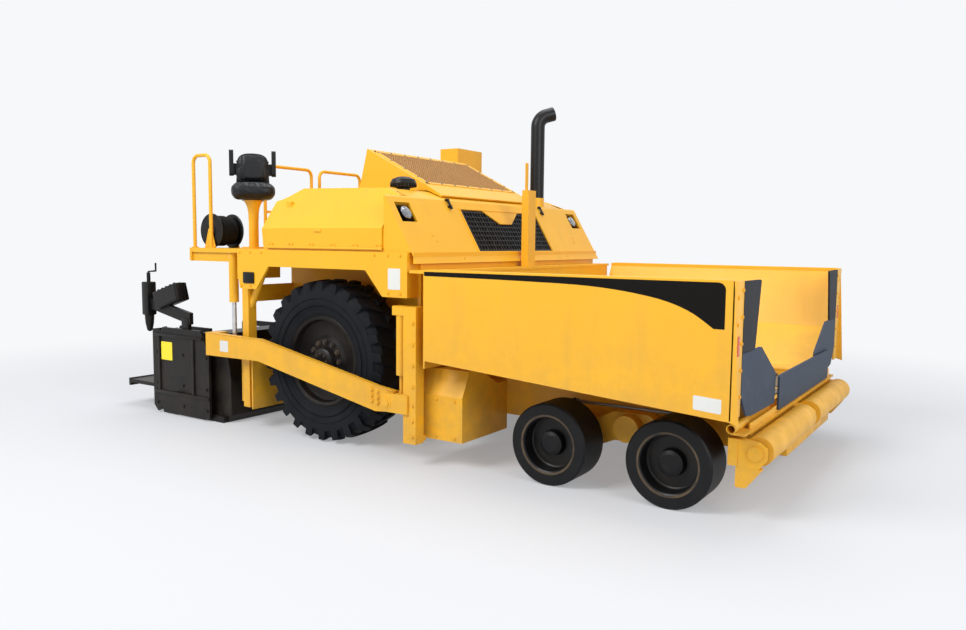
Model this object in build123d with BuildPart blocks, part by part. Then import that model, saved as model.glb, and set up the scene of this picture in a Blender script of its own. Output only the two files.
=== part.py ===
from build123d import *
import math
import os

# Wheeled asphalt paver with its screed, millimetres.
# +X is forward to the hopper, +Y is the machine's left, +Z is up, and the wheels stand on Z = 0.
# The origin is on the ground under the middle of the overall box.

os.makedirs("parts", exist_ok=True)

SIDES = (("right", -1), ("left", 1))

# ---- Driving dimensions ----
pin_gap = 0.1               # radial play of a pin or shaft in its bore
axle_x = -470.0             # drive axle, from the middle of the overall length

# Drive wheels
tyre_r = 690.0
tyre_width = 400.0
tyre_y = 1250.0             # middle of the tyre, from the centre line
rim_r = 375.0
wheel_disc_y = tyre_y + 90.0    # outer face of the rim's disc
drive_hub_r = 115.0
final_drive_r = 170.0
spindle_r = 85.0

# Bogie wheels
roller_tyre_r = 293.0
roller_tyre_width = 298.0
roller_tyre_y = 1271.0
front_wheel_x = axle_x + 3059.0
rear_wheel_x = axle_x + 2180.0
dish_r = 192.0
web_thickness = 30.0
kingpin_y = 1190.0
steer_arm = 180.0
link_z = 545.0
bogie_inner_y = 900.0
bogie_outer_y = 990.0
stub_r = 32.0

# Chassis
frame_half_width = 850.0
frame_bottom = 330.0
frame_top = 600.0
rear_frame_half_width = 900.0
tunnel_half_width = 660.0
tunnel_top = 1000.0
conveyor_z = frame_top + 18
side_plate = 30.0
frame_rear_x = axle_x - 920.0
bulkhead_x = axle_x + 1046.0
tunnel_rear_x = axle_x - 780.0
frame_front_x = axle_x + 3380.0
side_box_half_width = 1480.0
side_box_length = 445.0
engine_z = 1300.0

# Fenders, deck and platform
deck_half_width = 1580.0
deck_top = 1624.0
deck_plate = 24.0
deck_rear_x = axle_x - 870.0
deck_front_x = bulkhead_x
fender_bottom = 1280.0
fender_rear_foot = 1360.0
arch_top = 1480.0
skirt = 20.0
platform_rear_x = axle_x - 1830.0
platform_half_width = 1360.0
tread_half_width = 760.0
tread_rear_x = axle_x - 1455.0
tread_front_x = axle_x - 660.0
tread_height = 4.0

# Hood
hood_half_width = 1560.0
hood_shoulder_z = 1800.0
roof_half_width = 1300.0
roof_z = 2120.0
hood_rear_x = axle_x - 550.0
nose_rear_x = axle_x + 800.0
nose_top_x = axle_x + 820.0
nose_top_z = 2050.0
nose_foot_x = axle_x + 1120.0
nose_foot_z = 1540.0
sheet = 20.0
door_rear_x = axle_x - 500.0
door_front_x = axle_x + 790.0
door_foot_z = 1650.0
door_thickness = 26.0
door_gap = 6.0

# Exhaust stack and intake cap on the roof
exhaust_x = axle_x + 720.0
exhaust_y = 920.0
exhaust_r = 70.0
cap_x = axle_x + 520.0
cap_y = -980.0
cap_neck_r = 55.0

# Tilting hood over the radiator
lid_half_width = 770.0
lid_rear_x = axle_x - 170.0
lid_top_rear_x = axle_x - 70.0
lid_top_z = 2530.0
lid_brow_x = axle_x + 610.0
lid_brow_z = 2185.0
lid_lip_x = axle_x + 770.0
lid_lip_z = 2098.0
lid_foot_z = 2158.0
lid_hinge_z = 2160.0
lid_hinge_r = 10.0
lid_pin_r = 5.0
lid_lug_half = 30.0
lid_hinge_ys = (-560.0, 0.0, 560.0)

# Hopper
hopper_rear_x = axle_x + 1200.0
wing_rear_x = axle_x + 1258.0
wing_front_x = axle_x + 3505.0
wing_toe_x = axle_x + 3560.0
wing_top = 1500.0
wing_half_width = 1650.0
wing_rear_foot_z = 832.0
wing_front_foot_z = 673.0
wing_plate = 14.0
hinge_y = 700.0
hinge_z = 668.0
hinge_barrel_r = 30.0
hinge_pin_r = 16.0
flap_thickness = 14.0
slat_pitch = 150.0

# Push rollers
roller_r = 93.0
roller_x = axle_x + 3597.0
roller_z = 441.0
roller_end_y = 1308.0
pad_half_width = 70.0

# Tow points, arms and cylinders
arm_inner_y = 1540.0
arm_outer_y = 1600.0
tow_pin_x = axle_x + 887.0
tow_pin_z = 475.0
tow_pin_r = 26.0
guide_rear_x = axle_x + 1042.0
guide_front_x = axle_x + 1162.0
guide_foot_z = 180.0
guide_top_z = 1210.0
tow_rod_x = axle_x + 986.0
tow_rod_r = 16.0
tow_barrel_r = 41.0
tow_barrel_foot_z = 690.0
lift_x = axle_x - 1030.0
lift_y = 1490.0
lift_rod_r = 20.0
lift_barrel_r = 42.0
lift_barrel_foot_z = 1145.0
lift_eye_z = 760.0

# Screed
screed_half_width = 1480.0
screed_front_x = axle_x - 1160.0
screed_rear_x = axle_x - 1850.0
screed_top = 450.0
extension_front_x = axle_x - 1870.0
extension_rear_x = axle_x - 2100.0
gate_thickness = 25.0
gate_top = 850.0
slide_tube_r = 30.0
slide_gap = 0.5
walkway_rear_x = axle_x - 2750.0
auger_x = axle_x - 975.0
auger_z = 330.0
auger_r = 145.0
auger_shaft_r = 34.0
auger_tip_y = 1350.0

# Operator's seats
seat_x = axle_x - 1150.0
seat_y = 1150.0
seat_turn = 40.0            # each seat is turned outward from straight ahead
column_top = 1905.0


# ---- Shapes that every sub-part uses ----
def block(x0, x1, y0, y1, z0, z1, mode=Mode.ADD):
    """Rectangular bar or plate between two corners."""
    with Locations(((x0 + x1) / 2, (y0 + y1) / 2, (z0 + z1) / 2)):
        Box(abs(x1 - x0), abs(y1 - y0), abs(z1 - z0), mode=mode)


def twin_block(x0, x1, y0, y1, z0, z1, mode=Mode.ADD):
    """The same bar on both sides of the machine."""
    for _, side in SIDES:
        block(x0, x1, side * y0, side * y1, z0, z1, mode=mode)


def profile_y(points, y0, y1, mode=Mode.ADD):
    """Plate cut to an outline of (x, z) points, between two distances from the centre line."""
    with BuildSketch(Plane.XZ.offset(-max(y0, y1))) as outline:
        Polygon(*points, align=None)
    extrude(outline.sketch, amount=abs(y1 - y0), mode=mode)


def profile_x(points, x0, x1, mode=Mode.ADD):
    """Section of (y, z) points run lengthways."""
    with BuildSketch(Plane.YZ.offset(min(x0, x1))) as outline:
        Polygon(*points, align=None)
    extrude(outline.sketch, amount=abs(x1 - x0), mode=mode)


def bar_x(x0, x1, y, z, r, mode=Mode.ADD):
    with Locations(Location(((x0 + x1) / 2, y, z), (0, 90, 0))):
        Cylinder(r, abs(x1 - x0), mode=mode)


def bar_y(x, y0, y1, z, r, mode=Mode.ADD):
    with Locations(Location((x, (y0 + y1) / 2, z), (90, 0, 0))):
        Cylinder(r, abs(y1 - y0), mode=mode)


def bar_z(x, y, z0, z1, r, mode=Mode.ADD):
    with Locations(Location((x, y, (z0 + z1) / 2))):
        Cylinder(r, abs(z1 - z0), mode=mode)


def strut(start, end, r):
    """Round tube between two points in space."""
    direction = Vector(end) - Vector(start)
    with BuildSketch(Plane(origin=start, z_dir=direction)) as ring:
        Circle(r)
    extrude(ring.sketch, amount=direction.length)


def finish(part, name):
    part.label = name
    export_step(part, f"parts/{name}.step")


def mirrored(points, side):
    """(y, z) points of the left side, or their mirror image for the right side."""
    return [(side * y, z) for y, z in points]


# ---- Chassis: forward tunnel, side boxes, bulkhead and rear frames ----
rear_bottom = 350.0
with BuildPart() as chassis_frame:
    twin_block(bulkhead_x, frame_front_x, frame_half_width - side_plate, frame_half_width,
               frame_bottom, frame_top)
    block(bulkhead_x, frame_front_x, -frame_half_width, frame_half_width,
          frame_bottom, frame_bottom + 16)
    block(frame_front_x - 20, frame_front_x, -frame_half_width, frame_half_width,
          frame_bottom, frame_top)
    # rear side frames, notched over the augers
    rear_frame = [
        (frame_rear_x, 560), (tunnel_rear_x - 20, 560), (tunnel_rear_x + 60, rear_bottom),
        (bulkhead_x + 1, rear_bottom), (bulkhead_x + 1, deck_top - deck_plate),
        (frame_rear_x, deck_top - deck_plate)]
    for _, side in SIDES:
        profile_y(rear_frame, side * (rear_frame_half_width - side_plate),
                  side * rear_frame_half_width)
        bar_y(axle_x, side * 860, side * 910, tyre_r, final_drive_r, mode=Mode.SUBTRACT)
    for x in (frame_rear_x, axle_x - 300, axle_x + 300):
        block(x, x + 40, -rear_frame_half_width, rear_frame_half_width, engine_z - 150, engine_z)
    block(tunnel_rear_x + 60, bulkhead_x + 1, -rear_frame_half_width, rear_frame_half_width,
          rear_bottom, rear_bottom + 16)
    # bulkhead across the machine behind the hopper, with the conveyor tunnel through it
    block(bulkhead_x, bulkhead_x + 30, -1450, 1450, frame_bottom, deck_top - deck_plate)
    block(bulkhead_x - 1, bulkhead_x + 31, -tunnel_half_width, tunnel_half_width,
          conveyor_z, tunnel_top, mode=Mode.SUBTRACT)
    # conveyor floor through the tunnel, on a cross bar at its rear end
    block(tunnel_rear_x, bulkhead_x + 1, -700, 700, frame_top, conveyor_z)
    block(tunnel_rear_x, tunnel_rear_x + 60, -rear_frame_half_width, rear_frame_half_width,
          frame_top - 35, frame_top)
    for _, side in SIDES:
        box_section = [(frame_half_width, 210), (side_box_half_width, 210),
                       (side_box_half_width, 550), (1390, 740), (1250, 740), (1000, frame_top),
                       (frame_half_width, frame_top)]
        profile_x(mirrored(box_section, side), bulkhead_x, bulkhead_x + side_box_length)
        # rear columns that carry the augers and the deflector plates
        block(axle_x - 920, axle_x - 840, side * 1400, side * 1490, 200, fender_rear_foot)
        block(axle_x - 920, axle_x - 880, side * (rear_frame_half_width - side_plate),
              side * 1401, engine_z - 150, engine_z)
        block(axle_x - 800, axle_x - 785, side * 1050, side * 1500, 190, 640)
        block(axle_x - 920, axle_x - 785, side * 1400, side * 1420, 190, 640)
        strut((axle_x - 860, side * 1440, 1110), (axle_x - 598, side * 1440, 1600), 32)
        block(axle_x - 800, axle_x - 500, side * 1300, side * 1520,
              deck_top - deck_plate, deck_top + 40, mode=Mode.SUBTRACT)
finish(chassis_frame.part, "chassis_frame")

# ---- Final drives that carry the drive wheels, one on each side frame ----
with BuildPart() as final_drives:
    for _, side in SIDES:
        bar_y(axle_x, side * (rear_frame_half_width - side_plate - 40), side * 960, tyre_r,
              final_drive_r)
        bar_y(axle_x, side * 960, side * 1060, tyre_r, final_drive_r - 30)
        bar_y(axle_x, side * 1060, side * (wheel_disc_y + 10), tyre_r, spindle_r)
        bar_y(axle_x, side * 760, side * 831, tyre_r, 90)
finish(final_drives.part, "final_drives")

# ---- Drive wheels: tyre, dished rim and hub turned in one section ----
for name, side in SIDES:
    face = tyre_y + tyre_width / 2
    inner = tyre_y - tyre_width / 2
    disc = wheel_disc_y
    with BuildPart() as drive_wheel:
        with BuildSketch(Plane.YZ.offset(axle_x)) as section:
            tyre_section = [
                (inner + 26, rim_r), (inner, rim_r + 70), (inner, tyre_r - 110),
                (inner + 40, tyre_r - 12), (tyre_y, tyre_r), (face - 40, tyre_r - 12),
                (face, tyre_r - 110), (face, rim_r + 70), (face - 26, rim_r),
                (face - 30, rim_r - 22), (disc + 8, rim_r - 40), (disc + 8, 200),
                (face - 70, 180), (face - 70, drive_hub_r), (face - 24, drive_hub_r - 10),
                (face - 10, 60), (face - 10, 0), (disc - 22, 0), (disc - 22, rim_r - 60),
                (inner + 30, rim_r - 22)]
            Polygon(*[(side * y, tyre_r + r) for y, r in tyre_section], align=None)
        revolve(axis=Axis((axle_x, 0, tyre_r), (0, 1, 0)))
        # the axle's end sits in the hub
        bar_y(axle_x, side * tyre_y, side * (wheel_disc_y + 10 + pin_gap), tyre_r,
              spindle_r + pin_gap, mode=Mode.SUBTRACT)
    finish(drive_wheel.part, f"drive_wheel_{name}")

# ---- Bogie beams: one each side, on a pivot between the two wheels ----
beam_top = 400.0
with BuildPart() as bogie_beams:
    pivot_x = (front_wheel_x + rear_wheel_x) / 2
    for _, side in SIDES:
        beam = [(rear_wheel_x - 110, 200), (rear_wheel_x + 110, 200), (pivot_x - 120, 290),
                (pivot_x + 120, 290), (front_wheel_x - 110, 200), (front_wheel_x + 110, 200),
                (front_wheel_x + 110, beam_top), (front_wheel_x - 110, beam_top),
                (pivot_x + 130, 500), (pivot_x - 130, 500),
                (rear_wheel_x + 110, beam_top), (rear_wheel_x - 110, beam_top)]
        profile_y(beam, side * bogie_inner_y, side * bogie_outer_y)
        bar_y(pivot_x, side * frame_half_width, side * 1085, 400, 95)
        for x in (rear_wheel_x, front_wheel_x):
            for z0 in (188, 368):
                block(x - 36, x + 36, side * (bogie_outer_y - 5), side * kingpin_y, z0, z0 + 30)
                bar_z(x, side * kingpin_y, z0, z0 + 30, 36)
                bar_z(x, side * kingpin_y, z0, z0 + 30, 20 + pin_gap, mode=Mode.SUBTRACT)
finish(bogie_beams.part, "bogie_beams")

# ---- Knuckles and solid-rubber wheels of the bogies ----
web_y = roller_tyre_y + 10
for name, side in SIDES:
    for place, x in (("front", front_wheel_x), ("rear", rear_wheel_x)):
        with BuildPart() as knuckle:
            bar_z(x, side * kingpin_y, 222, 364, 38)
            bar_z(x, side * kingpin_y, 180, 445, 20)
            bar_y(x, side * kingpin_y, side * (web_y + 40), roller_tyre_r, stub_r)
            block(x - 22, x + 22, side * (kingpin_y + 20), side * (kingpin_y - steer_arm), 404, 424)
            bar_z(x, side * (kingpin_y - steer_arm), 404, 424, 24)
            bar_z(x, side * (kingpin_y - steer_arm), 424, link_z + 20, 8)
        finish(knuckle.part, f"knuckle_{place}_{name}")

        outer = roller_tyre_y + roller_tyre_width / 2
        inner = roller_tyre_y - roller_tyre_width / 2
        with BuildPart() as wheel:
            with BuildSketch(Plane.YZ.offset(x)) as section:
                wheel_section = [
                    (inner, dish_r), (inner, roller_tyre_r - 12), (inner + 12, roller_tyre_r),
                    (outer - 12, roller_tyre_r), (outer, roller_tyre_r - 12), (outer, dish_r + 20),
                    (outer - 14, dish_r), (web_y + web_thickness, dish_r - 8),
                    (web_y + web_thickness, 95), (outer - 50, 85), (outer - 40, 60),
                    (outer - 40, 0), (web_y + 41, 0), (web_y + 41, stub_r + pin_gap), (web_y, stub_r + pin_gap),
                    (web_y, dish_r)]
                Polygon(*[(side * y, roller_tyre_r + r) for y, r in wheel_section], align=None)
            revolve(axis=Axis((x, 0, roller_tyre_r), (0, 1, 0)))
            for angle in range(0, 360, 60):
                bx = x + 140 * math.cos(math.radians(angle))
                bz = roller_tyre_r + 140 * math.sin(math.radians(angle))
                bar_y(bx, side * (web_y - 1), side * (web_y + web_thickness + 1), bz, 24,
                      mode=Mode.SUBTRACT)
        finish(wheel.part, f"bogie_wheel_{place}_{name}")

# ---- Steering links between the front and rear knuckle of each side ----
for name, side in SIDES:
    y = side * (kingpin_y - steer_arm)
    with BuildPart() as steer_link:
        bar_x(rear_wheel_x + 30, front_wheel_x - 30, y, link_z, 11)
        for x in (rear_wheel_x, front_wheel_x):
            bar_z(x, y, link_z - 12, link_z + 12, 34)
            bar_z(x, y, link_z - 12, link_z + 12, 22, mode=Mode.SUBTRACT)
    finish(steer_link.part, f"steer_link_{name}")

# ---- Deck, fenders and operator's platform ----
with BuildPart() as deck_fenders:
    block(deck_rear_x, deck_front_x + 4, -deck_half_width, deck_half_width,
          deck_top - deck_plate, deck_top)
    # engine bay
    block(axle_x - 350, axle_x + 660, -440, 440, deck_top - 60, deck_top + 1, mode=Mode.SUBTRACT)
    skirt_outline = [
        (deck_rear_x, deck_top - 1), (deck_rear_x, arch_top), (deck_rear_x + 30, fender_bottom),
        (axle_x - 631, fender_bottom), (axle_x - 475, arch_top), (axle_x + 627, arch_top),
        (axle_x + 800, fender_bottom), (deck_front_x, fender_bottom), (deck_front_x, deck_top - 1)]
    for _, side in SIDES:
        profile_y(skirt_outline, side * (deck_half_width - skirt), side * deck_half_width)
        # inner faces of the front and rear fender legs
        block(deck_front_x - 16, deck_front_x, side * 1100, side * deck_half_width,
              fender_bottom, deck_top - 1)
        block(deck_rear_x, deck_rear_x + 16, side * 1100, side * deck_half_width,
              fender_rear_foot, deck_top - 1)
        # brackets for the screed lift cylinders
        block(deck_rear_x - 215, deck_rear_x + 1, side * 1440, side * 1550, 1590, 1624)
    block(platform_rear_x, frame_rear_x, -platform_half_width, platform_half_width,
          deck_top - 40, deck_top)
    block(frame_rear_x - 1, deck_rear_x + 1, -platform_half_width, platform_half_width,
          deck_top - deck_plate, deck_top)
    for y in (-1320, -500, 500, 1320):
        block(platform_rear_x + 10, frame_rear_x, y - 20, y + 20, 1500, deck_top - 30)
    block(platform_rear_x, platform_rear_x + 30, -platform_half_width, platform_half_width,
          1500, deck_top - 30)
    # tread plate between the seats
    block(tread_rear_x, tread_front_x, -tread_half_width, tread_half_width, deck_top - 1,
          deck_top + tread_height)
finish(deck_fenders.part, "deck_fenders")

# ---- Hood: shell with a door opening in each side, a nose and the radiator opening ----
roof_line = [
    (hood_rear_x, deck_top), (hood_rear_x - 50, 2045), (axle_x - 460, 2080), (axle_x - 335, 2150),
    (axle_x + 620, 2130), (nose_rear_x + 1, nose_top_z + 12), (nose_rear_x + 1, deck_top)]
shoulders = [
    (-hood_half_width, deck_top), (-hood_half_width, hood_shoulder_z), (-roof_half_width, roof_z),
    (-roof_half_width + 40, roof_z + 60), (roof_half_width - 40, roof_z + 60),
    (roof_half_width, roof_z), (hood_half_width, hood_shoulder_z), (hood_half_width, deck_top)]
nose = [
    (nose_rear_x, deck_top), (deck_front_x + 44, deck_top), (deck_front_x + 44, nose_foot_z),
    (nose_foot_x, nose_foot_z), (nose_top_x, nose_top_z), (nose_rear_x, nose_top_z + 12)]
face_angle = math.degrees(math.atan2(nose_foot_x - nose_top_x, nose_top_z - nose_foot_z))
face_plane = Plane(
    origin=(nose_foot_x, 0, nose_foot_z), x_dir=(0, 1, 0),
    z_dir=(math.cos(math.radians(face_angle)), 0, math.sin(math.radians(face_angle))))
face_height = math.hypot(nose_foot_x - nose_top_x, nose_top_z - nose_foot_z)
grille_half_width = 640.0
grille_foot = 100.0
grille_height = 412.0
lamp_y = 1400.0
lamp_half_width = 92.0
lamp_foot = 370.0
lamp_height = 175.0
inner_half_width = hood_half_width - sheet
inner_roof = [
    (hood_rear_x + sheet, deck_top - 1), (hood_rear_x - 50 + sheet, 2045 - sheet),
    (axle_x - 460, 2080 - sheet), (axle_x - 335, 2150 - sheet), (axle_x + 620, 2130 - sheet),
    (nose_rear_x - sheet, nose_top_z + 12 - sheet), (nose_rear_x - sheet, deck_top - 1)]
inner_shoulders = [
    (-inner_half_width, deck_top - 1), (-inner_half_width, hood_shoulder_z - 8),
    (-roof_half_width + 12, roof_z - 22), (-roof_half_width + 60, roof_z + 60),
    (roof_half_width - 60, roof_z + 60), (roof_half_width - 12, roof_z - 22),
    (inner_half_width, hood_shoulder_z - 8), (inner_half_width, deck_top - 1)]
with BuildPart() as engine_bay:
    profile_y(inner_roof, -hood_half_width, hood_half_width)
    profile_x(inner_shoulders, hood_rear_x - 60, nose_rear_x, mode=Mode.INTERSECT)

nose_slope = (nose_foot_x - nose_top_x) / (nose_top_z - nose_foot_z)
nose_foot_inner_x = nose_foot_x - (deck_top - nose_foot_z) * nose_slope - 24
nose_hollow_top = nose_foot_z + (nose_foot_x - 24 - nose_rear_x - sheet) / nose_slope
nose_hollow = [
    (nose_rear_x + sheet, deck_top - 1), (nose_foot_inner_x, deck_top - 1),
    (nose_rear_x + sheet, nose_hollow_top)]
with BuildPart() as hood_shell:
    profile_y(roof_line, -hood_half_width, hood_half_width)
    profile_x(shoulders, hood_rear_x - 60, nose_rear_x + 2, mode=Mode.INTERSECT)
    # small air box behind the radiator hood, on the left
    block(axle_x - 420, axle_x - 190, 800, 1260, 2080, 2700)
    add(engine_bay.part, mode=Mode.SUBTRACT)
    profile_y(nose, -hood_half_width, hood_half_width)
    profile_y(nose_hollow, -inner_half_width, inner_half_width, mode=Mode.SUBTRACT)
    # door openings
    for _, side in SIDES:
        block(door_rear_x - door_gap, door_front_x + door_gap, side * 1262, side * 1600,
              door_foot_z - door_gap, 2200, mode=Mode.SUBTRACT)
    # opening under the tilting hood
    block(lid_rear_x + 60, lid_brow_x - 20, -lid_half_width + 60, lid_half_width - 60, 1900, 2300,
          mode=Mode.SUBTRACT)
    # hinge lugs and pins of the tilting hood
    for y in lid_hinge_ys:
        bar_y(lid_rear_x, y - lid_lug_half, y + lid_lug_half, lid_hinge_z, lid_hinge_r)
        block(lid_rear_x - 8, lid_rear_x + 8, y - lid_lug_half, y + lid_lug_half,
              roof_z + 15, lid_hinge_z)
        bar_y(lid_rear_x, y - 3 * lid_lug_half, y + 3 * lid_lug_half, lid_hinge_z, lid_pin_r)
    # holes for the exhaust and the intake
    bar_z(exhaust_x, exhaust_y, 1900, 2300, exhaust_r, mode=Mode.SUBTRACT)
    bar_z(cap_x, cap_y, 1900, 2300, cap_neck_r, mode=Mode.SUBTRACT)
    # grille opening and lamp pockets in the sloping face
    with BuildSketch(face_plane) as face_openings:
        with Locations((0, grille_foot + grille_height / 2)):
            Rectangle(2 * grille_half_width, grille_height)
        with Locations((-lamp_y, lamp_foot + lamp_height / 2), (lamp_y, lamp_foot + lamp_height / 2)):
            Rectangle(2 * lamp_half_width, lamp_height)
    extrude(face_openings.sketch, amount=-60, mode=Mode.SUBTRACT)
finish(hood_shell.part, "hood_shell")

# ---- Side doors, hinged along the foot, folded over the shoulder ----
for name, side in SIDES:
    with BuildPart() as side_door:
        outer_line = [(hood_half_width + 14, door_foot_z), (hood_half_width + 14, hood_shoulder_z + 6),
                      (roof_half_width + 6, roof_z + 12), (1270, roof_z + 60)]
        inner_line = [(1270, roof_z - 20), (roof_half_width - 12, roof_z - 14),
                      (hood_half_width - 14, hood_shoulder_z - 5), (hood_half_width - 14, door_foot_z)]
        profile_x(mirrored(outer_line + inner_line, side), door_rear_x, door_front_x)
        door_outline = [
            (door_rear_x, door_foot_z), (door_rear_x, 2067), (axle_x - 460, 2084),
            (axle_x - 335, 2154), (axle_x + 620, 2134), (door_front_x, 2070), (door_front_x, door_foot_z)]
        profile_y(door_outline, side * 1200, side * 1600, mode=Mode.INTERSECT)
        bar_x(door_rear_x, door_front_x, side * (hood_half_width + 14), door_foot_z - 4, 9)
        # flush pull near the rear upper corner
        block(door_rear_x + 90, door_rear_x + 150, side * 1395, side * 1425, 1985, 2035)
    finish(side_door.part, f"side_door_{name}")

# ---- Tilting radiator hood with its mesh ----
with BuildPart() as radiator_hood:
    lid_outline = [
        (lid_rear_x, lid_foot_z), (lid_top_rear_x, lid_top_z), (lid_brow_x, lid_brow_z),
        (lid_lip_x, lid_lip_z), (lid_lip_x - 12, lid_lip_z - 12), (lid_brow_x, lid_foot_z - 16)]
    profile_y(lid_outline, -lid_half_width, lid_half_width)
    profile_y([(lid_rear_x + sheet, 2100), (lid_top_rear_x + sheet, lid_top_z - 45),
               (lid_brow_x - 12, lid_brow_z - 30), (lid_brow_x - 12, 2100)],
              -lid_half_width + sheet, lid_half_width - sheet, mode=Mode.SUBTRACT)
    slope = math.atan2(lid_top_z - lid_brow_z, lid_brow_x - lid_top_rear_x)
    lid_plane = Plane(origin=(lid_top_rear_x, 0, lid_top_z), x_dir=(0, 1, 0),
                      z_dir=(math.sin(slope), 0, math.cos(slope)))
    lid_length = math.hypot(lid_top_z - lid_brow_z, lid_brow_x - lid_top_rear_x)
    with BuildSketch(lid_plane) as mesh_opening:
        with Locations((0, -lid_length / 2)):
            Rectangle(2 * lid_half_width - 140, lid_length - 110)
            Rectangle(2 * lid_half_width - 160, lid_length - 130, mode=Mode.SUBTRACT)
        with Locations((0, -lid_length / 2)):
            with GridLocations(60, 60, 22, 10):
                Rectangle(34, 34)
    extrude(mesh_opening.sketch, amount=-60, mode=Mode.SUBTRACT)
    # hinge barrels on each side of the roof's lugs
    for y in lid_hinge_ys:
        bar_y(lid_rear_x, y - lid_lug_half - 4, y + lid_lug_half + 4, lid_hinge_z, lid_hinge_r + 5,
              mode=Mode.SUBTRACT)
        for turn in (-1, 1):
            near = y + turn * (lid_lug_half + 4)
            far = y + turn * (3 * lid_lug_half - 2)
            bar_y(lid_rear_x, near, far, lid_hinge_z, lid_hinge_r)
            bar_y(lid_rear_x, near, far + turn * 4, lid_hinge_z, lid_pin_r + pin_gap,
                  mode=Mode.SUBTRACT)
finish(radiator_hood.part, "radiator_hood")

# ---- Grille in the nose ----
with BuildPart() as grille:
    with BuildSketch(face_plane.offset(-16)) as bars:
        with Locations((0, grille_foot + grille_height / 2)):
            Rectangle(2 * grille_half_width - 2, grille_height - 2)
            with GridLocations(2 * (grille_half_width - 30) / 28, (grille_height - 40) / 8, 28, 8):
                Rectangle(32, 36, mode=Mode.SUBTRACT)
    extrude(bars.sketch, amount=10)
finish(grille.part, "grille")

# ---- Work lights in their pockets ----
with BuildPart() as work_lights:
    for _, side in SIDES:
        with BuildSketch(face_plane.offset(-58)) as pocket:
            with Locations((side * lamp_y, lamp_foot + lamp_height / 2)):
                Rectangle(2 * lamp_half_width - 1, lamp_height - 1)
        extrude(pocket.sketch, amount=12)
        with BuildSketch(face_plane.offset(-46)) as lens:
            with Locations((side * (lamp_y - 10), lamp_foot + lamp_height / 2)):
                Circle(58)
        extrude(lens.sketch, amount=38)
finish(work_lights.part, "work_lights")

# ---- Engine, as one block in its place ----
with BuildPart() as engine_block:
    block(axle_x - 330, axle_x + 640, -420, 420, engine_z, 2020)
finish(engine_block.part, "engine_block")

# ---- Exhaust, intake cap ----
with BuildPart() as exhaust_stack:
    with BuildLine() as stack_line:
        FilletPolyline((exhaust_x, exhaust_y, 2025), (exhaust_x, exhaust_y, 2960),
                       (exhaust_x + 110, exhaust_y + 120, 3010), radius=120)
    with BuildSketch(Plane(origin=(exhaust_x, exhaust_y, 2025))) as tube:
        Circle(exhaust_r)
        Circle(exhaust_r - 8, mode=Mode.SUBTRACT)
    sweep(tube.sketch, path=stack_line.line)
finish(exhaust_stack.part, "exhaust_stack")

with BuildPart() as intake_cap:
    with BuildSketch(Plane.XZ.offset(-cap_y)) as section:
        Polygon((cap_x, 2090), (cap_x + cap_neck_r, 2090), (cap_x + cap_neck_r, 2150), (cap_x + 100, 2158),
                (cap_x + 112, 2190), (cap_x + 96, 2224), (cap_x + 50, 2244), (cap_x, 2250), align=None)
    revolve(axis=Axis((cap_x, cap_y, 0), (0, 0, 1)))
finish(intake_cap.part, "intake_cap")

# ---- Handrails: bent tube loops on the platform ----
rail_r = 17.0
rail_top = 2500.0
with BuildPart() as handrails:
    for _, side in SIDES:
        y = side * 1325
        loops = (
            ((platform_rear_x + 40, y, deck_top), (platform_rear_x + 40, y, rail_top),
             (axle_x - 1545, y, rail_top), (axle_x - 1545, y, deck_top)),
            ((axle_x - 1500, side * 60, deck_top), (axle_x - 1500, side * 60, rail_top - 50),
             (axle_x - 1500, side * 700, rail_top - 50), (axle_x - 1500, side * 700, deck_top)))
        for loop in loops:
            with BuildLine() as route:
                FilletPolyline(*loop, radius=70)
            with BuildSketch(Plane(origin=loop[0])) as ring:
                Circle(rail_r)
            sweep(ring.sketch, path=route.line)
        bar_y(axle_x - 1500, side * 60, side * 700, 1990, rail_r - 4)
finish(handrails.part, "handrails")

# ---- Wash-down hose reel behind the rail ----
reel_x = axle_x - 1680.0
reel_y = -1090.0
with BuildPart() as hose_reel:
    bar_y(reel_x, reel_y - 130, reel_y + 130, 1790, 150)
    for y in (reel_y - 140, reel_y + 120):
        bar_y(reel_x, y, y + 20, 1790, 166)
    block(reel_x - 90, reel_x + 90, reel_y - 60, reel_y + 60, deck_top, 1700)
finish(hose_reel.part, "hose_reel")

# ---- Seats: pedestal on the deck, turning frame, cushions ----
with BuildPart() as seat_pedestals:
    for _, side in SIDES:
        bar_z(seat_x, side * seat_y, deck_top, deck_top + 16, 110)
        bar_z(seat_x, side * seat_y, deck_top, column_top - 6, 45)
finish(seat_pedestals.part, "seat_pedestals")

for name, side in SIDES:
    heading = side * seat_turn
    seat_frame_location = Location((seat_x, side * seat_y, column_top), (0, 0, heading))
    with BuildPart() as seat_frame:
        with Locations(seat_frame_location):
            with Locations((0, 0, 0)):
                Cone(45, 120, 170, align=(Align.CENTER, Align.CENTER, Align.MIN))
            with Locations((0, 0, 165)):
                Box(430, 420, 34, align=(Align.CENTER, Align.CENTER, Align.MIN))
            with Locations((-215, 0, 190)):
                Box(40, 380, 420, align=(Align.CENTER, Align.CENTER, Align.MIN))
            with Locations((-60, 245, 330), (-60, -245, 330)):
                Box(300, 50, 40, align=(Align.CENTER, Align.CENTER, Align.MIN))
            with Locations((-215, 222, 300), (-215, -222, 300)):
                Box(40, 100, 70, align=(Align.CENTER, Align.CENTER, Align.MIN))
    finish(seat_frame.part, f"seat_frame_{name}")
    with BuildPart() as seat_pads:
        with Locations(seat_frame_location):
            with Locations((20, 0, 200)):
                Box(420, 430, 90, align=(Align.CENTER, Align.CENTER, Align.MIN))
            with Locations((-150, 0, 312)):
                Box(84, 400, 320, align=(Align.CENTER, Align.CENTER, Align.MIN))
    finish(seat_pads.part, f"seat_pads_{name}")

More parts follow.
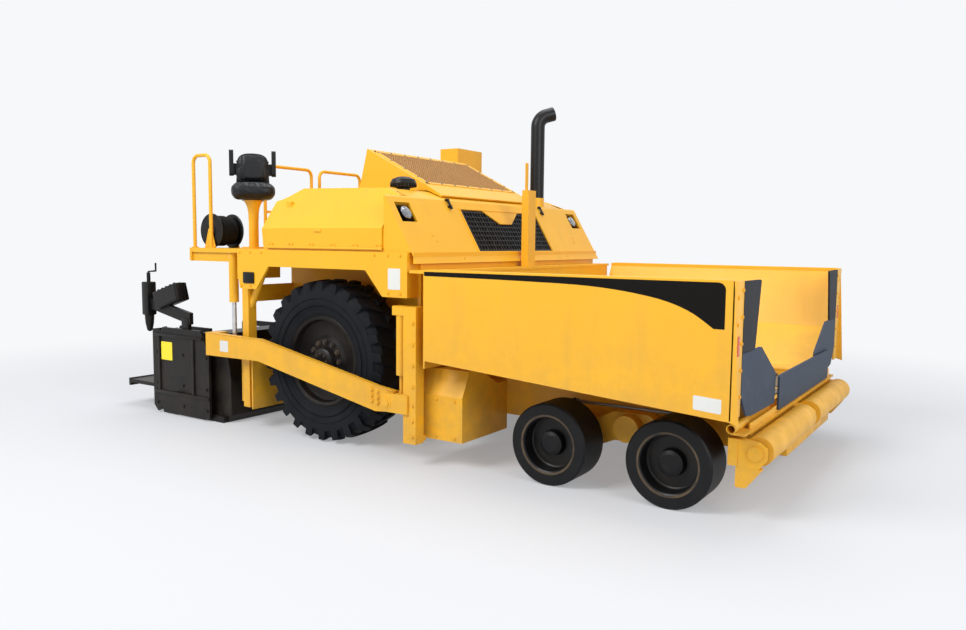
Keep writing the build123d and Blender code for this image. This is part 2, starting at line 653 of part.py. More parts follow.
# ---- Hopper: rear wall, floor, hinge lugs and front apron; guide post on the rear wall ----
with BuildPart() as hopper_base:
    rear_wall = [
        (-deck_half_width, 760), (-deck_half_width, wing_top - 10),
        (deck_half_width, wing_top - 10), (deck_half_width, 760),
        (frame_half_width, 760), (frame_half_width, frame_top), (-frame_half_width, frame_top),
        (-frame_half_width, 760)]
    profile_x(rear_wall, hopper_rear_x, hopper_rear_x + 16)
    block(bulkhead_x + 30, hopper_rear_x + 30, -deck_half_width - 10, deck_half_width + 10,
          wing_top - 30, wing_top - 8)
    block(hopper_rear_x - 1, hopper_rear_x + 17, -tunnel_half_width + 40, tunnel_half_width - 40,
          conveyor_z, tunnel_top, mode=Mode.SUBTRACT)
    # tunnel floor and sides back to the bulkhead
    block(bulkhead_x + 30, hopper_rear_x + 1, -frame_half_width, frame_half_width,
          frame_top, conveyor_z)
    block(hopper_rear_x, wing_front_x - 30, -frame_half_width, frame_half_width,
          frame_top, conveyor_z)
    block(wing_front_x - 60, wing_front_x - 30, -1240, 1240, 540, conveyor_z)
    block(wing_front_x - 60, wing_front_x + 30, -1390, 1390, 540, 556)
    for _, side in SIDES:
        block(hopper_rear_x, wing_front_x - 30, side * (hinge_y - 60), side * (hinge_y - 45),
              frame_top, hinge_z - 12)
        bar_x(wing_rear_x - 40, wing_front_x - 34, side * hinge_y, hinge_z, hinge_pin_r)
        for x in (wing_rear_x - 42, wing_rear_x + 1080, wing_front_x - 84):
            block(x, x + 50, side * (hinge_y - 24), side * (hinge_y + 24), frame_top, hinge_z)
            bar_x(x, x + 50, side * hinge_y, hinge_z, hinge_barrel_r)
    # guide post: box section with a thin sighting blade on top
    block(hopper_rear_x - 66, hopper_rear_x + 1, -65, 65, wing_top - 60, 2170)
    block(hopper_rear_x - 40, hopper_rear_x - 30, -60, -20, 2150, 2410)
finish(hopper_base.part, "hopper_base")

# ---- Slat conveyors on the hopper floor ----
with BuildPart() as conveyor:
    conveyor_rear = tunnel_rear_x + 20
    conveyor_front = wing_front_x - 70
    for y in (-330, 330):
        block(conveyor_rear, conveyor_front, y - 280, y + 280, conveyor_z, conveyor_z + 8)
        count = int((conveyor_front - conveyor_rear) // slat_pitch)
        for i in range(count):
            x = conveyor_rear + 60 + i * slat_pitch
            block(x, x + 40, y - 280, y + 280, conveyor_z + 7, conveyor_z + 26)
finish(conveyor.part, "conveyor")

# ---- Hopper wings: outer plate, box top, sloping inner wall and floor, on barrel hinges ----
for name, side in SIDES:
    with BuildPart() as hopper_wing:
        skin = wing_plate
        side_view = [(wing_rear_x, wing_top), (wing_rear_x, wing_rear_foot_z),
                     (wing_front_x, wing_front_foot_z), (wing_toe_x, wing_front_foot_z - 15),
                     (wing_front_x + 6, wing_top)]
        profile_y(side_view, side * (wing_half_width - skin), side * wing_half_width)
        liner = [(wing_half_width - 5, wing_top), (1590, wing_top), (1590, wing_top - 30),
                 (1380, 985), (hinge_y + 20, hinge_z + 28), (hinge_y + 20, hinge_z + 8),
                 (1387, 967), (1604, wing_top - 40), (wing_half_width - 5, wing_top - 40)]
        profile_x(mirrored(liner, side), wing_rear_x, wing_front_x)
        end_rib = [(wing_half_width - 5, wing_top - 30), (1596, wing_top - 30), (1380, 980),
                   (1240, 905), (1260, 870), (wing_half_width - 5, 870)]
        for x in (wing_rear_x, axle_x + 2350, wing_front_x - 14):
            profile_x(mirrored(end_rib, side), x, x + 14)
        for x0, x1 in ((wing_rear_x + 14, wing_rear_x + 1074), (wing_rear_x + 1136, wing_front_x - 90)):
            bar_x(x0, x1, side * hinge_y, hinge_z, hinge_barrel_r - 2)
            block(x0, x1, side * (hinge_y + 10), side * (hinge_y + 40), hinge_z + 4, hinge_z + 26)
        bar_x(wing_rear_x - 50, wing_front_x, side * hinge_y, hinge_z, hinge_pin_r + pin_gap,
              mode=Mode.SUBTRACT)
        # clear the fixed hinge lugs
        for x in (wing_rear_x - 42, wing_rear_x + 1080, wing_front_x - 84):
            bar_x(x - 6, x + 56, side * hinge_y, hinge_z, hinge_barrel_r + 10, mode=Mode.SUBTRACT)
    finish(hopper_wing.part, f"hopper_wing_{name}")

    # rubber flap across the wing's front end
    with BuildPart() as wing_flap:
        lower = [(640, 628), (640, 850), (1000, 1045), (1100, 1052), (1634, 1060), (1634, 690),
                 (1180, 632)]
        upper = [(1300, 1056), (980, 1056), (1060, 1492), (1632, 1496), (1632, 1056)]
        profile_x(mirrored(lower, side), wing_front_x, wing_front_x + flap_thickness)
        profile_x(mirrored(upper, side), wing_front_x, wing_front_x + flap_thickness)
    finish(wing_flap.part, f"wing_flap_{name}")

with BuildPart() as centre_flap:
    block(wing_front_x - 30, wing_front_x - 30 + flap_thickness, -600, 600, 590, 815)
    block(wing_front_x - 30, wing_front_x - 30 + flap_thickness, -560, -500, 556, 600)
finish(centre_flap.part, "centre_flap")

# ---- Push bar and its two rollers ----
bar_rear = axle_x + 3430.0
with BuildPart() as push_bar:
    block(bar_rear, bar_rear + 60, -1385, 1385, 350, 520)
    block(frame_front_x, bar_rear + 1, -420, 420, 360, 510)
    for y in (-roller_end_y - 40, 0, roller_end_y + 40):
        wide = pad_half_width if y == 0 else 30
        cheek = [(bar_rear + 50, 345), (roller_x + 20, 345), (roller_x + 60, 395),
                 (roller_x + 60, 470), (roller_x + 10, 505), (bar_rear + 50, 520)]
        profile_y(cheek, y - wide, y + wide)
    bar_y(roller_x, -roller_end_y - 60, roller_end_y + 60, roller_z, 25)
finish(push_bar.part, "push_bar")
for name, side in SIDES:
    with BuildPart() as push_roller:
        bar_y(roller_x, side * (pad_half_width + 8), side * (roller_end_y + 2), roller_z, roller_r)
        bar_y(roller_x, side * pad_half_width, side * (roller_end_y + 10), roller_z, 25.5,
              mode=Mode.SUBTRACT)
    finish(push_roller.part, f"push_roller_{name}")

# ---- Tow-point guides, and the barrels of the tow-point and screed-lift cylinders ----
with BuildPart() as tow_guides:
    for _, side in SIDES:
        block(guide_rear_x, guide_front_x, side * 1520, side * 1620, guide_foot_z, guide_top_z)
        block(guide_rear_x + 10, guide_front_x - 10, side * side_box_half_width, side * 1521,
              guide_foot_z + 8, guide_foot_z + 50)
        block(bulkhead_x + 10, bulkhead_x + 30, side * 1450, side * 1521, 700, guide_top_z - 10)
        # head block that the tow cylinder hangs from
        block(axle_x + 930, guide_front_x, side * 1525, side * 1615, guide_top_z - 60, guide_top_z + 10)
finish(tow_guides.part, "tow_guides")

arm_y = (arm_inner_y + arm_outer_y) / 2
with BuildPart() as cylinder_barrels:
    for _, side in SIDES:
        bar_z(tow_rod_x, side * arm_y, tow_barrel_foot_z, guide_top_z - 60, tow_barrel_r)
        bar_z(tow_rod_x, side * arm_y, tow_barrel_foot_z - 5, guide_top_z - 90, tow_rod_r + 0.5,
              mode=Mode.SUBTRACT)
        bar_z(lift_x, side * lift_y, lift_barrel_foot_z, 1590, lift_barrel_r)
        bar_z(lift_x, side * lift_y, lift_barrel_foot_z - 5, 1570, lift_rod_r + 0.5,
              mode=Mode.SUBTRACT)
finish(cylinder_barrels.part, "cylinder_barrels")

# ---- Tow-point slides: clevis, pin and cylinder rod on each side ----
with BuildPart() as tow_slides:
    for _, side in SIDES:
        for y0, y1 in ((1500, 1518), (1622, 1640)):
            cheek = [(axle_x + 840, 420), (axle_x + 870, 405), (guide_rear_x + 50, 405),
                     (guide_rear_x + 50, 550), (axle_x + 870, 550), (axle_x + 840, 530)]
            profile_y(cheek, side * y0, side * y1)
        block(axle_x + 958, guide_rear_x - 2, side * 1510, side * 1630, 405, 550)
        bar_y(tow_pin_x, side * 1500, side * 1650, tow_pin_z, tow_pin_r)
        bar_z(tow_rod_x, side * arm_y, 549, tow_barrel_foot_z + 190, tow_rod_r)
finish(tow_slides.part, "tow_slides")

# ---- Rods of the screed-lift cylinders ----
with BuildPart() as lift_rods:
    for _, side in SIDES:
        bar_z(lift_x, side * lift_y, lift_eye_z, lift_barrel_foot_z + 65, lift_rod_r)
        bar_y(lift_x, side * (lift_y - 16), side * (lift_y + 16), lift_eye_z, 36)
finish(lift_rods.part, "lift_rods")

# ---- Tow arms: one bent plate beam each side, from the tow pin back to the screed ----
with BuildPart() as tow_arms:
    for _, side in SIDES:
        arm = [(axle_x + 930, 400), (axle_x + 930, 560), (axle_x + 745, 583), (axle_x - 590, 845),
               (axle_x - 1300, 860), (axle_x - 1300, 650), (axle_x - 600, 655), (axle_x + 745, 385)]
        profile_y(arm, side * arm_inner_y, side * arm_outer_y)
        bar_y(tow_pin_x, side * 1530, side * 1610, tow_pin_z, tow_pin_r + pin_gap, mode=Mode.SUBTRACT)
        # stub that the lift rod's eye hangs beside
        bar_y(lift_x, side * 1512, side * (arm_inner_y + 1), lift_eye_z, 18)
        # foot of the arm that wraps round to the screed's frame
        block(axle_x - 1300, axle_x - 1180, side * 1440, side * (arm_inner_y + 1), 650, 860)
finish(tow_arms.part, "tow_arms")

# ---- Screed: mouldboard, sole plate, frame, guides for the extensions and rear walkway ----
tube_places = ((560.0, "right"), (680.0, "left"))
tube_x = axle_x - 1985.0
with BuildPart() as screed_main:
    section = [
        (screed_front_x, 70), (screed_front_x + 0, 430), (screed_front_x - 40, 640),
        (screed_front_x - 40, 840), (axle_x - 1400, 840), (axle_x - 1750, 800), (axle_x - 1810, 640),
        (screed_rear_x, screed_top), (screed_rear_x, 0), (screed_front_x - 60, 0)]
    profile_y(section, -1438, 1438)
    block(screed_rear_x, screed_front_x - 60, -screed_half_width, screed_half_width, 0, 60)
    for y in (-1400, 0, 1400):
        bracket = [(screed_rear_x + 60, 480), (screed_rear_x - 20, 480), (tube_x - 55, 500),
                   (tube_x - 55, 735), (screed_rear_x + 60, 770)]
        profile_y(bracket, y - 20, y + 20)
        for z, _ in tube_places:
            bar_y(tube_x, y - 21, y + 21, z, slide_tube_r + slide_gap, mode=Mode.SUBTRACT)
    # walkway and its hangers
    for y in (-1200, -400, 400, 1200):
        hanger = [(axle_x - 1740, 770), (axle_x - 1740, 830), (axle_x - 2210, 830),
                  (axle_x - 2230, 800), (axle_x - 2230, 240), (axle_x - 2190, 240),
                  (axle_x - 2190, 780)]
        profile_y(hanger, y - 15, y + 15)
    block(walkway_rear_x, axle_x - 2170, -1450, 1450, 225, 262)
    block(walkway_rear_x, walkway_rear_x + 30, -1450, 1450, 195, 270)
finish(screed_main.part, "screed_main")

# ---- Screed extensions: box, slide tube, end gate, crank post and control box ----
for (tube_z, name), (_, side) in zip(tube_places, SIDES):
    with BuildPart() as extension:
        box_section = [(extension_front_x, 0), (extension_front_x, 400), (extension_front_x - 60, 440),
                       (extension_rear_x, 440), (extension_rear_x, 0)]
        profile_y(box_section, side * 20, side * 1500)
        gate = [(axle_x - 1362, 30), (axle_x - 1362, 640), (axle_x - 1480, gate_top),
                (axle_x - 2060, gate_top), (extension_rear_x - 10, gate_top - 60),
                (extension_rear_x - 10, 70), (extension_rear_x + 50, 12), (axle_x - 1420, 12)]
        profile_y(gate, side * 1500, side * (1500 + gate_thickness))
        bar_y(tube_x, side * -1374, side * 1501, tube_z, slide_tube_r)
        # crank post on the gate
        bar_z(axle_x - 2075, side * 1475, 430, 1320, 16)
        bar_z(axle_x - 2075, side * 1475, 880, 1230, 30)
        # control box on its stalk
        bar_z(axle_x - 1900, side * 1475, gate_top - 60, 1110, 14)
        block(axle_x - 1900 - 16, axle_x - 1900 + 16, side * 1458, side * 1501, 780, 840)
        block(axle_x - 1990, axle_x - 1760, side * 1430, side * 1520, 1105, 1260)
    finish(extension.part, f"screed_extension_{name}")

# ---- Augers in front of the screed, their hangers and chain case ----
with BuildPart() as auger_frame:
    block(axle_x - 1060, axle_x - 870, -90, 90, 210, 900)
    block(axle_x - 1000, frame_rear_x, -90, 90, 600, engine_z - 20)
    for _, side in SIDES:
        block(axle_x - 1050, axle_x - 921, side * 1380, side * 1400, 220, 640)
        block(axle_x - 922, axle_x - 880, side * 1380, side * 1400, 480, 640)
        bar_y(auger_x, side * 1370, side * 1400, auger_z, 60)
        for y0, y1 in ((70, 91), (1360, 1396)):
            bar_y(auger_x, side * y0, side * y1, auger_z, auger_shaft_r + pin_gap, mode=Mode.SUBTRACT)
finish(auger_frame.part, "auger_frame")

flight_turns = 4
for name, side in SIDES:
    with BuildPart() as auger:
        bar_y(auger_x, side * 75, side * 1395, auger_z, auger_shaft_r)
        pitch = (auger_tip_y - 120) / flight_turns
        for i in range(2 * flight_turns):
            y = 130 + i * pitch / 2
            bar_y(auger_x, side * y, side * (y + 14), auger_z, auger_r)
    finish(auger.part, f"auger_{name}")
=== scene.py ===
"""A wheeled asphalt paver: finishes, wheels, seats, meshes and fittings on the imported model."""
import math

import bmesh
import bpy
from mathutils import Matrix, Vector
from mathutils.bvhtree import BVHTree


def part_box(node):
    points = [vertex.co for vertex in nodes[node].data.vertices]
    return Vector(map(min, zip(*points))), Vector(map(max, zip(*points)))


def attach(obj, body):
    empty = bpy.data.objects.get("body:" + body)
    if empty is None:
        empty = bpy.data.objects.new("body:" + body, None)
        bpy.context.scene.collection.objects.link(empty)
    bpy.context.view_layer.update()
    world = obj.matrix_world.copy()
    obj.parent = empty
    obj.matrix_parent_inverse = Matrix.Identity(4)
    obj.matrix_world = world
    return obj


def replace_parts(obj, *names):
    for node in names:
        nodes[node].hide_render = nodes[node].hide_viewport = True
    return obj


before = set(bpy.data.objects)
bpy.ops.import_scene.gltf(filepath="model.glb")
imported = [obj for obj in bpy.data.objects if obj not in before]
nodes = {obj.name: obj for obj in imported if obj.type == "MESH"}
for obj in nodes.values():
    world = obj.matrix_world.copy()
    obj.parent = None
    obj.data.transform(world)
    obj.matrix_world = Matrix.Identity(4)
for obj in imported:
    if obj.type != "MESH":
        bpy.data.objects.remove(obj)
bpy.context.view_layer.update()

SIDES = (("right", -1), ("left", 1))
UP = Vector((0, 0, 1))
FORWARD = Vector((1, 0, 0))


def both_sides(build):
    """Builds what the machine has on its right, and again on its left."""
    for name, side in SIDES:
        build(name, side)


# ---- Node tools ----
def add_node(tree, kind, sockets=None, **settings):
    """Adds a node and gives its outputs. An input takes a value, an output or a list of outputs."""
    made = tree.nodes.new(kind)
    for key, value in settings.items():
        setattr(made, key, value)
    for key, value in (sockets or {}).items():
        for source in value if isinstance(value, list) else [value]:
            if isinstance(source, bpy.types.NodeSocket):
                tree.links.new(source, made.inputs[key])
            else:
                made.inputs[key].default_value = source
    return made.outputs


class Socket:
    """An output of a shader node. Arithmetic on it adds Math nodes."""

    def __init__(self, finish, output):
        self.finish = finish
        self.output = output

    def maths(self, operation, first, second):
        return self.finish.node("ShaderNodeMath", {0: first, 1: second}, operation=operation)

    def __add__(self, other):
        return self.maths("ADD", self, other)

    def __radd__(self, other):
        return self.maths("ADD", other, self)

    def __sub__(self, other):
        return self.maths("SUBTRACT", self, other)

    def __rsub__(self, other):
        return self.maths("SUBTRACT", other, self)

    def __mul__(self, other):
        return self.maths("MULTIPLY", self, other)

    def root(self):
        return self.maths("POWER", self, 0.5)

    def above(self, edge, soft):
        """0 below edge and 1 above it, over a soft step."""
        return self.finish.node(
            "ShaderNodeMapRange", {0: self, 1: edge - soft, 2: edge + soft, 3: 0.0, 4: 1.0},
            interpolation_type="SMOOTHSTEP")


class Finish:
    """A material while it is built."""

    def __init__(self, name):
        self.material = bpy.data.materials.new(name)
        self.material.use_nodes = True
        self.tree = self.material.node_tree
        self.tree.nodes.clear()
        self.point = self.node("ShaderNodeTexCoord", output="Object")

    def node(self, kind, sockets=None, output=0, **settings):
        plain = {key: value.output if isinstance(value, Socket) else value
                 for key, value in (sockets or {}).items()}
        return Socket(self, add_node(self.tree, kind, plain, **settings)[output])

    def stretched(self, scale):
        """The object's own coordinates, stretched along the axes."""
        return self.node("ShaderNodeMapping", {"Vector": self.point, "Scale": scale})

    def cloud(self, scale, detail=3.0, rough=0.55, where=None):
        """Soft random spots, from 0 to 1."""
        return self.node("ShaderNodeTexNoise", {
            "Vector": where or self.point, "Scale": scale, "Detail": detail, "Roughness": rough})

    def cells(self, scale):
        """Distance from the middles of small random cells."""
        return self.node("ShaderNodeTexVoronoi", {"Vector": self.point, "Scale": scale})

    def axis(self, name):
        return self.node("ShaderNodeSeparateXYZ", {0: self.point}, output=name)

    def blend(self, amount, first, second):
        """One colour laid over another."""
        return self.node("ShaderNodeMix", {0: amount, 6: first, 7: second}, output=2,
                         data_type="RGBA")

    def bump(self, height, distance, strength, under=None):
        sockets = {"Height": height, "Distance": distance, "Strength": strength}
        if under is not None:
            sockets["Normal"] = under
        return self.node("ShaderNodeBump", sockets)

    def close(self, colour, roughness, normal, metallic=0.0, coat=0.0, level=0.5):
        """Ends the material in one principled surface."""
        self.end(self.node("ShaderNodeBsdfPrincipled", {
            "Base Color": colour, "Roughness": roughness, "Metallic": metallic, "Normal": normal,
            "Coat Weight": coat, "Coat Roughness": 0.2, "Specular IOR Level": level}))
        return self.material

    def end(self, surface):
        add_node(self.tree, "ShaderNodeOutputMaterial", {"Surface": surface.output})


def rgb(*screen):
    """A colour written as screen values from 0 to 255, as the shader's own colour."""
    parts = [value / 255 for value in screen]
    return (*(part / 12.92 if part <= 0.04045 else ((part + 0.055) / 1.055) ** 2.4
              for part in parts), 1.0)


# ---- Finishes ----
def paint(name, colour, shade, gloss=0.38, dust=0.25, chips=0.0, level=0.4):
    """Sprayed machine paint: a faint change of tone, dust low down and in streaks, worn chips."""
    f = Finish(name)
    tone = f.cloud(0.9)
    streaks = f.cloud(5.0, 4.0, where=f.stretched((1.0, 1.0, 0.12)))
    low = 1.0 - f.axis("Z").above(0.75, 0.75)
    film = f.cloud(7.0, 5.0, 0.6)
    dirt = low * film.above(0.46, 0.22) * dust + streaks.above(0.62, 0.12) * dust * 0.25
    body = f.blend(tone.above(0.5, 0.3) * 0.45, colour, shade)
    body = f.blend(dirt, body, rgb(150, 124, 88))
    normal = f.bump(f.cloud(420.0, 2.0), 0.0004, 0.12)
    rough = gloss + dirt * 0.5 + (film - 0.5) * 0.12
    if chips:
        worn = f.cloud(38.0, 5.0, 0.7).above(0.73, 0.015) * film.above(0.52, 0.05)
        body = f.blend(worn * chips, body, rgb(70, 60, 50))
        rough = rough + worn * 0.25
        normal = f.bump(1.0 - worn, 0.0006, 0.5, under=normal)
    return f.close(body, rough, normal, coat=0.1 * level, level=level)


YELLOW, DEEP_YELLOW = rgb(240, 179, 34), rgb(234, 168, 26)
yellow_paint = paint("yellow_paint", YELLOW, DEEP_YELLOW, dust=0.35)
worn_yellow = paint("worn_yellow_paint", YELLOW, DEEP_YELLOW, gloss=0.42, dust=0.32, chips=0.6)
hopper_yellow = paint("hopper_yellow_paint", rgb(241, 180, 40), rgb(235, 168, 30), gloss=0.42,
                      dust=0.4, chips=0.35)
black_paint = paint("black_paint", rgb(17, 17, 18), rgb(10, 10, 11), gloss=0.42, dust=0.06,
                    chips=0.2, level=0.22)
gloss_black = paint("gloss_black_paint", rgb(18, 18, 19), rgb(11, 11, 12), gloss=0.4, dust=0.03,
                    level=0.26)
dark_casting = paint("dark_casting", rgb(38, 38, 40), rgb(28, 28, 30), gloss=0.55, dust=0.4,
                     level=0.25)
sign_yellow = paint("sign_yellow", rgb(250, 226, 40), rgb(246, 220, 36), gloss=0.3, dust=0.02)
mesh_brass = paint("mesh_paint", rgb(172, 124, 58), rgb(140, 98, 44), gloss=0.5, dust=0.1)
stripe_black = paint("stripe_black", rgb(12, 10, 8), rgb(9, 8, 6), gloss=0.42, dust=0.01,
                     level=0.12)
reflector_red = paint("reflector_red", rgb(214, 84, 44), rgb(190, 62, 34), gloss=0.15, dust=0.05)
plate_white = paint("plate_white", rgb(226, 226, 220), rgb(210, 210, 204), gloss=0.35, dust=0.1)


def tyre_black(name, tone, dusty):
    """Black tyre rubber with dust worked into it."""
    f = Finish(name)
    grain = f.cloud(160.0, 4.0, 0.6)
    film = f.cloud(6.0, 5.0, 0.65)
    colour = f.blend(film.above(0.52, 0.2) * dusty, tone, rgb(92, 84, 74))
    return f.close(colour, 0.62 + grain * 0.16, f.bump(grain, 0.0012, 0.35), level=0.16)


tyre_rubber = tyre_black("tyre_rubber", rgb(15, 19, 25), 0.05)
roller_rubber = tyre_black("bogie_wheel_rubber", rgb(12, 12, 13), 0.06)
hose_rubber = tyre_black("hose_rubber", rgb(14, 14, 15), 0.06)


def sheet_rubber(name, tone, scuffed):
    """Rubber belting, with its weave just showing and scuffs."""
    f = Finish(name)
    scuff = f.cloud(9.0, 5.0, 0.7)
    colour = f.blend(scuff.above(0.58, 0.14) * 0.3, tone, scuffed)
    return f.close(colour, 0.52 + scuff * 0.2, f.bump(f.cloud(120.0), 0.001, 0.3), level=0.3)


flap_rubber = sheet_rubber("flap_rubber", rgb(46, 58, 74), rgb(84, 94, 106))
strip_rubber = sheet_rubber("strip_rubber", rgb(12, 18, 26), rgb(34, 40, 50))


def bare_steel(name, tone, rough, rust):
    """Steel worn bright by use, with brushed scratches and a little rust bloom."""
    f = Finish(name)
    drawn = f.cloud(30.0, 4.0, 0.6, where=f.stretched((1.0, 0.06, 1.0)))
    bloom = f.cloud(11.0, 5.0, 0.7).above(0.62, 0.08)
    colour = f.blend(bloom * rust, tone, rgb(112, 74, 46))
    return f.close(colour, rough + drawn * 0.22 + bloom * 0.2, f.bump(drawn, 0.0005, 0.2),
                   metallic=0.85 - bloom * 0.5)


worn_steel = bare_steel("worn_steel", rgb(120, 118, 114), 0.42, rust=0.45)
rod_chrome = bare_steel("rod_chrome", rgb(205, 206, 208), 0.12, rust=0.0)
bolt_steel = bare_steel("bolt_steel", rgb(150, 146, 138), 0.38, rust=0.35)


def leather():
    """Black seat vinyl: fine pebbled grain and shallow creases."""
    f = Finish("seat_vinyl")
    crease = f.cloud(24.0, 4.0, 0.6)
    colour = f.blend(crease.above(0.6, 0.2) * 0.35, rgb(14, 16, 20), rgb(30, 31, 34))
    normal = f.bump(f.cells(330.0), 0.0006, 0.4)
    normal = f.bump(crease, 0.002, 0.25, under=normal)
    return f.close(colour, 0.36 + crease * 0.14, normal, level=0.32)


def lamp_lens():
    """Moulded lens in front of a bright reflector."""
    f = Finish("lamp_glass")
    ribs = f.cells(70.0)
    colour = f.blend(ribs.above(0.35, 0.2), rgb(196, 200, 204), rgb(120, 124, 130))
    return f.close(colour, 0.1 + ribs * 0.1, f.bump(ribs, 0.002, 0.6), metallic=0.55, coat=0.8)


seat_vinyl = leather()
lamp_glass = lamp_lens()


def wheel_finish(name, centre, bright_r, rubber_from):
    """One wheel: rubber outside, a bright worn ring, and black steel inside it."""
    f = Finish(name)
    across = f.axis("X") - centre.x
    up = f.axis("Z") - centre.z
    out = (across * across + up * up).root()
    rubber = out.above(rubber_from, 0.002)
    ring = out.above(bright_r - 0.007, 0.002) * (1.0 - out.above(bright_r + 0.004, 0.002))
    film = f.cloud(8.0, 5.0, 0.65)
    steel = f.blend(film.above(0.6, 0.15) * 0.2, rgb(12, 12, 14), rgb(44, 42, 38))
    black = f.blend(film.above(0.55, 0.2) * 0.12, rgb(12, 13, 15), rgb(48, 46, 44))
    colour = f.blend(ring * 0.5, f.blend(rubber, steel, black), rgb(84, 86, 90))
    rough = 0.3 + rubber * 0.2 + film * 0.1
    return f.close(colour, rough, f.bump(f.cloud(150.0, 4.0), 0.0008, 0.3),
                   metallic=ring * 0.6, level=0.24)


FINISH_OF = {node: finish for finish, names in (
    (yellow_paint, "chassis_frame deck_fenders hood_shell handrails seat_pedestals tow_guides "
                   "cylinder_barrels radiator_hood tow_arms side_door"),
    (worn_yellow, "bogie_beams push_bar auger_frame push_roller tow_slides"),
    (hopper_yellow, "hopper_base hopper_wing"),
    (black_paint, "final_drives grille work_lights hose_reel knuckle seat_frame seat_pads "
                  "screed_main screed_extension"),
    (gloss_black, "exhaust_stack intake_cap"),
    (dark_casting, "engine_block"),
    (tyre_rubber, "drive_wheel"),
    (roller_rubber, "bogie_wheel"),
    (flap_rubber, "centre_flap wing_flap"),
    (worn_steel, "conveyor steer_link auger"),
    (rod_chrome, "lift_rods"),
) for node in names.split()}


def dress(holder, finish):
    """Gives a node or a mesh one material, in place of any that it has."""
    holder.materials.clear()
    holder.materials.append(finish)


for name, node in nodes.items():
    keys = [key for key in FINISH_OF if name == key or name.startswith(key + "_")]
    dress(node.data, FINISH_OF[max(keys, key=len)])


# ---- Places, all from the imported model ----
def centre_of(name):
    return [(low + high) / 2 for low, high in zip(*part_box(name))]


axle_x, _, axle_z = centre_of("drive_wheel_right")
tyre_r = axle_z
wing_low, wing_high = (Vector(corner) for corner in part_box("hopper_wing_left"))


def at(along, side_y, height):
    """A place, with its length measured forward from the drive axle."""
    return Vector((axle_x + along, side_y, height))


def flank(side, y):
    """Lays a plate flat on a side face of the machine, y out from its middle plane."""
    return lambda u, v, w: at(u, side * (y + w), v)


def spoke(centre, radius, angle, y=0.0):
    """A place at a radius from the crosswise line through centre, moved by y along it."""
    return Vector((centre.x + radius * math.cos(angle), centre.y + y,
                   centre.z + radius * math.sin(angle)))


def angles(count):
    return [2 * math.pi * i / count for i in range(count)]


def flank_bolts(side, y, xs, zs):
    """Bolt places in rows on a side face."""
    return [(at(x, side * y, z), Vector((0, side, 0))) for x in xs for z in zs]


def bolt_circle(centre, radius, count, side, y=0.0):
    """Bolt places round a crosswise line, y outwards of centre."""
    return [(spoke(centre, radius, a, side * y), Vector((0, side, 0))) for a in angles(count)]


# ---- Shapes that every piece uses ----
def place_object(name, data):
    obj = bpy.data.objects.new(name, data)
    bpy.context.scene.collection.objects.link(obj)
    return obj


def finished_mesh(carrier):
    """An object's mesh or curve as a plain mesh, with its modifiers applied."""
    return bpy.data.meshes.new_from_object(
        carrier.evaluated_get(bpy.context.evaluated_depsgraph_get()))


def mesh_of(name, shape):
    bmesh.ops.recalc_face_normals(shape, faces=shape.faces)
    mesh = bpy.data.meshes.new(name)
    shape.to_mesh(mesh)
    shape.free()
    return mesh


def add_piece(name, shape, body, finish, smooth=30.0):
    """Turns a bmesh or a mesh into a piece that rides on a body."""
    mesh = mesh_of(name, shape) if isinstance(shape, bmesh.types.BMesh) else shape
    mesh.name = name
    dress(mesh, finish)
    obj = place_object(name, mesh)
    if smooth:
        mesh.shade_smooth()
        mesh.set_sharp_from_angle(angle=math.radians(smooth))
    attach(obj, body)
    return obj


def ring_of(shape, points):
    """Adds one loop of vertices."""
    return [shape.verts.new(point) for point in points]


def join_rings(shape, first, second, close=True):
    count = len(first)
    for i in range(count if close else count - 1):
        j = (i + 1) % count
        shape.faces.new((first[i], first[j], second[j], second[i]))


def skin_over(shape, rings, ends=(0, -1)):
    """Faces from each ring to the next one, and over the ends."""
    for first, second in zip(rings, rings[1:]):
        join_rings(shape, first, second)
    for end in ends:
        shape.faces.new(rings[end])


def stacked(shape, place, profile, count, ends=(0, -1)):
    """Circles one above another; place turns (x, y, lift) into a point."""
    skin_over(shape, [ring_of(shape, [place(radius * math.cos(a), radius * math.sin(a), lift)
                                      for a in angles(count)]) for radius, lift in profile], ends)


def slab(shape, low, high, soft):
    """A bar or plate with softened edges between two corners."""
    size = [abs(b - a) for a, b in zip(low, high)]
    made = bmesh.ops.create_cube(shape, size=1.0)["verts"]
    for vert in made:
        vert.co = [(a + b) / 2 + part * length
                   for a, b, part, length in zip(low, high, vert.co, size)]
    edges = {edge for vert in made for edge in vert.link_edges}
    bmesh.ops.bevel(shape, geom=list(edges), offset=min(soft, 0.4 * min(size)), segments=2,
                    affect="EDGES", profile=0.5)


def turned(shape, profile, centre, side, steps):
    """A body of revolution about the crosswise line through centre; profile holds (y, radius)."""
    rings = [ring_of(shape, [spoke(centre, radius, angle, side * y) for y, radius in profile])
             for angle in angles(steps)]
    for i in range(steps):
        join_rings(shape, rings[i], rings[(i + 1) % steps], close=False)
    bmesh.ops.remove_doubles(shape, verts=shape.verts, dist=1e-5)


def prism(shape, outline, depth, place):
    """A plate of the outline's shape; place turns (u, v, w) into a point of the object."""
    skin_over(shape, [ring_of(shape, [place(u, v, w) for u, v in outline]) for w in (0.0, depth)])


def rectangle(u0, v0, u1, v1):
    return [(u0, v0), (u1, v0), (u1, v1), (u0, v1)]


def rounded(corners, radius, steps=5):
    """An outline's corners, each turned into a short arc."""
    points = []
    count = len(corners)
    for i in range(count):
        here = Vector(corners[i])
        before = Vector(corners[i - 1]) - here
        after = Vector(corners[(i + 1) % count]) - here
        cut = min(radius, 0.45 * before.length, 0.45 * after.length)
        start = here + before.normalized() * cut
        end = here + after.normalized() * cut
        for step in range(steps + 1):
            t = step / steps
            points.append(tuple(start * (1 - t) ** 2 + here * 2 * t * (1 - t) + end * t ** 2))
    return points


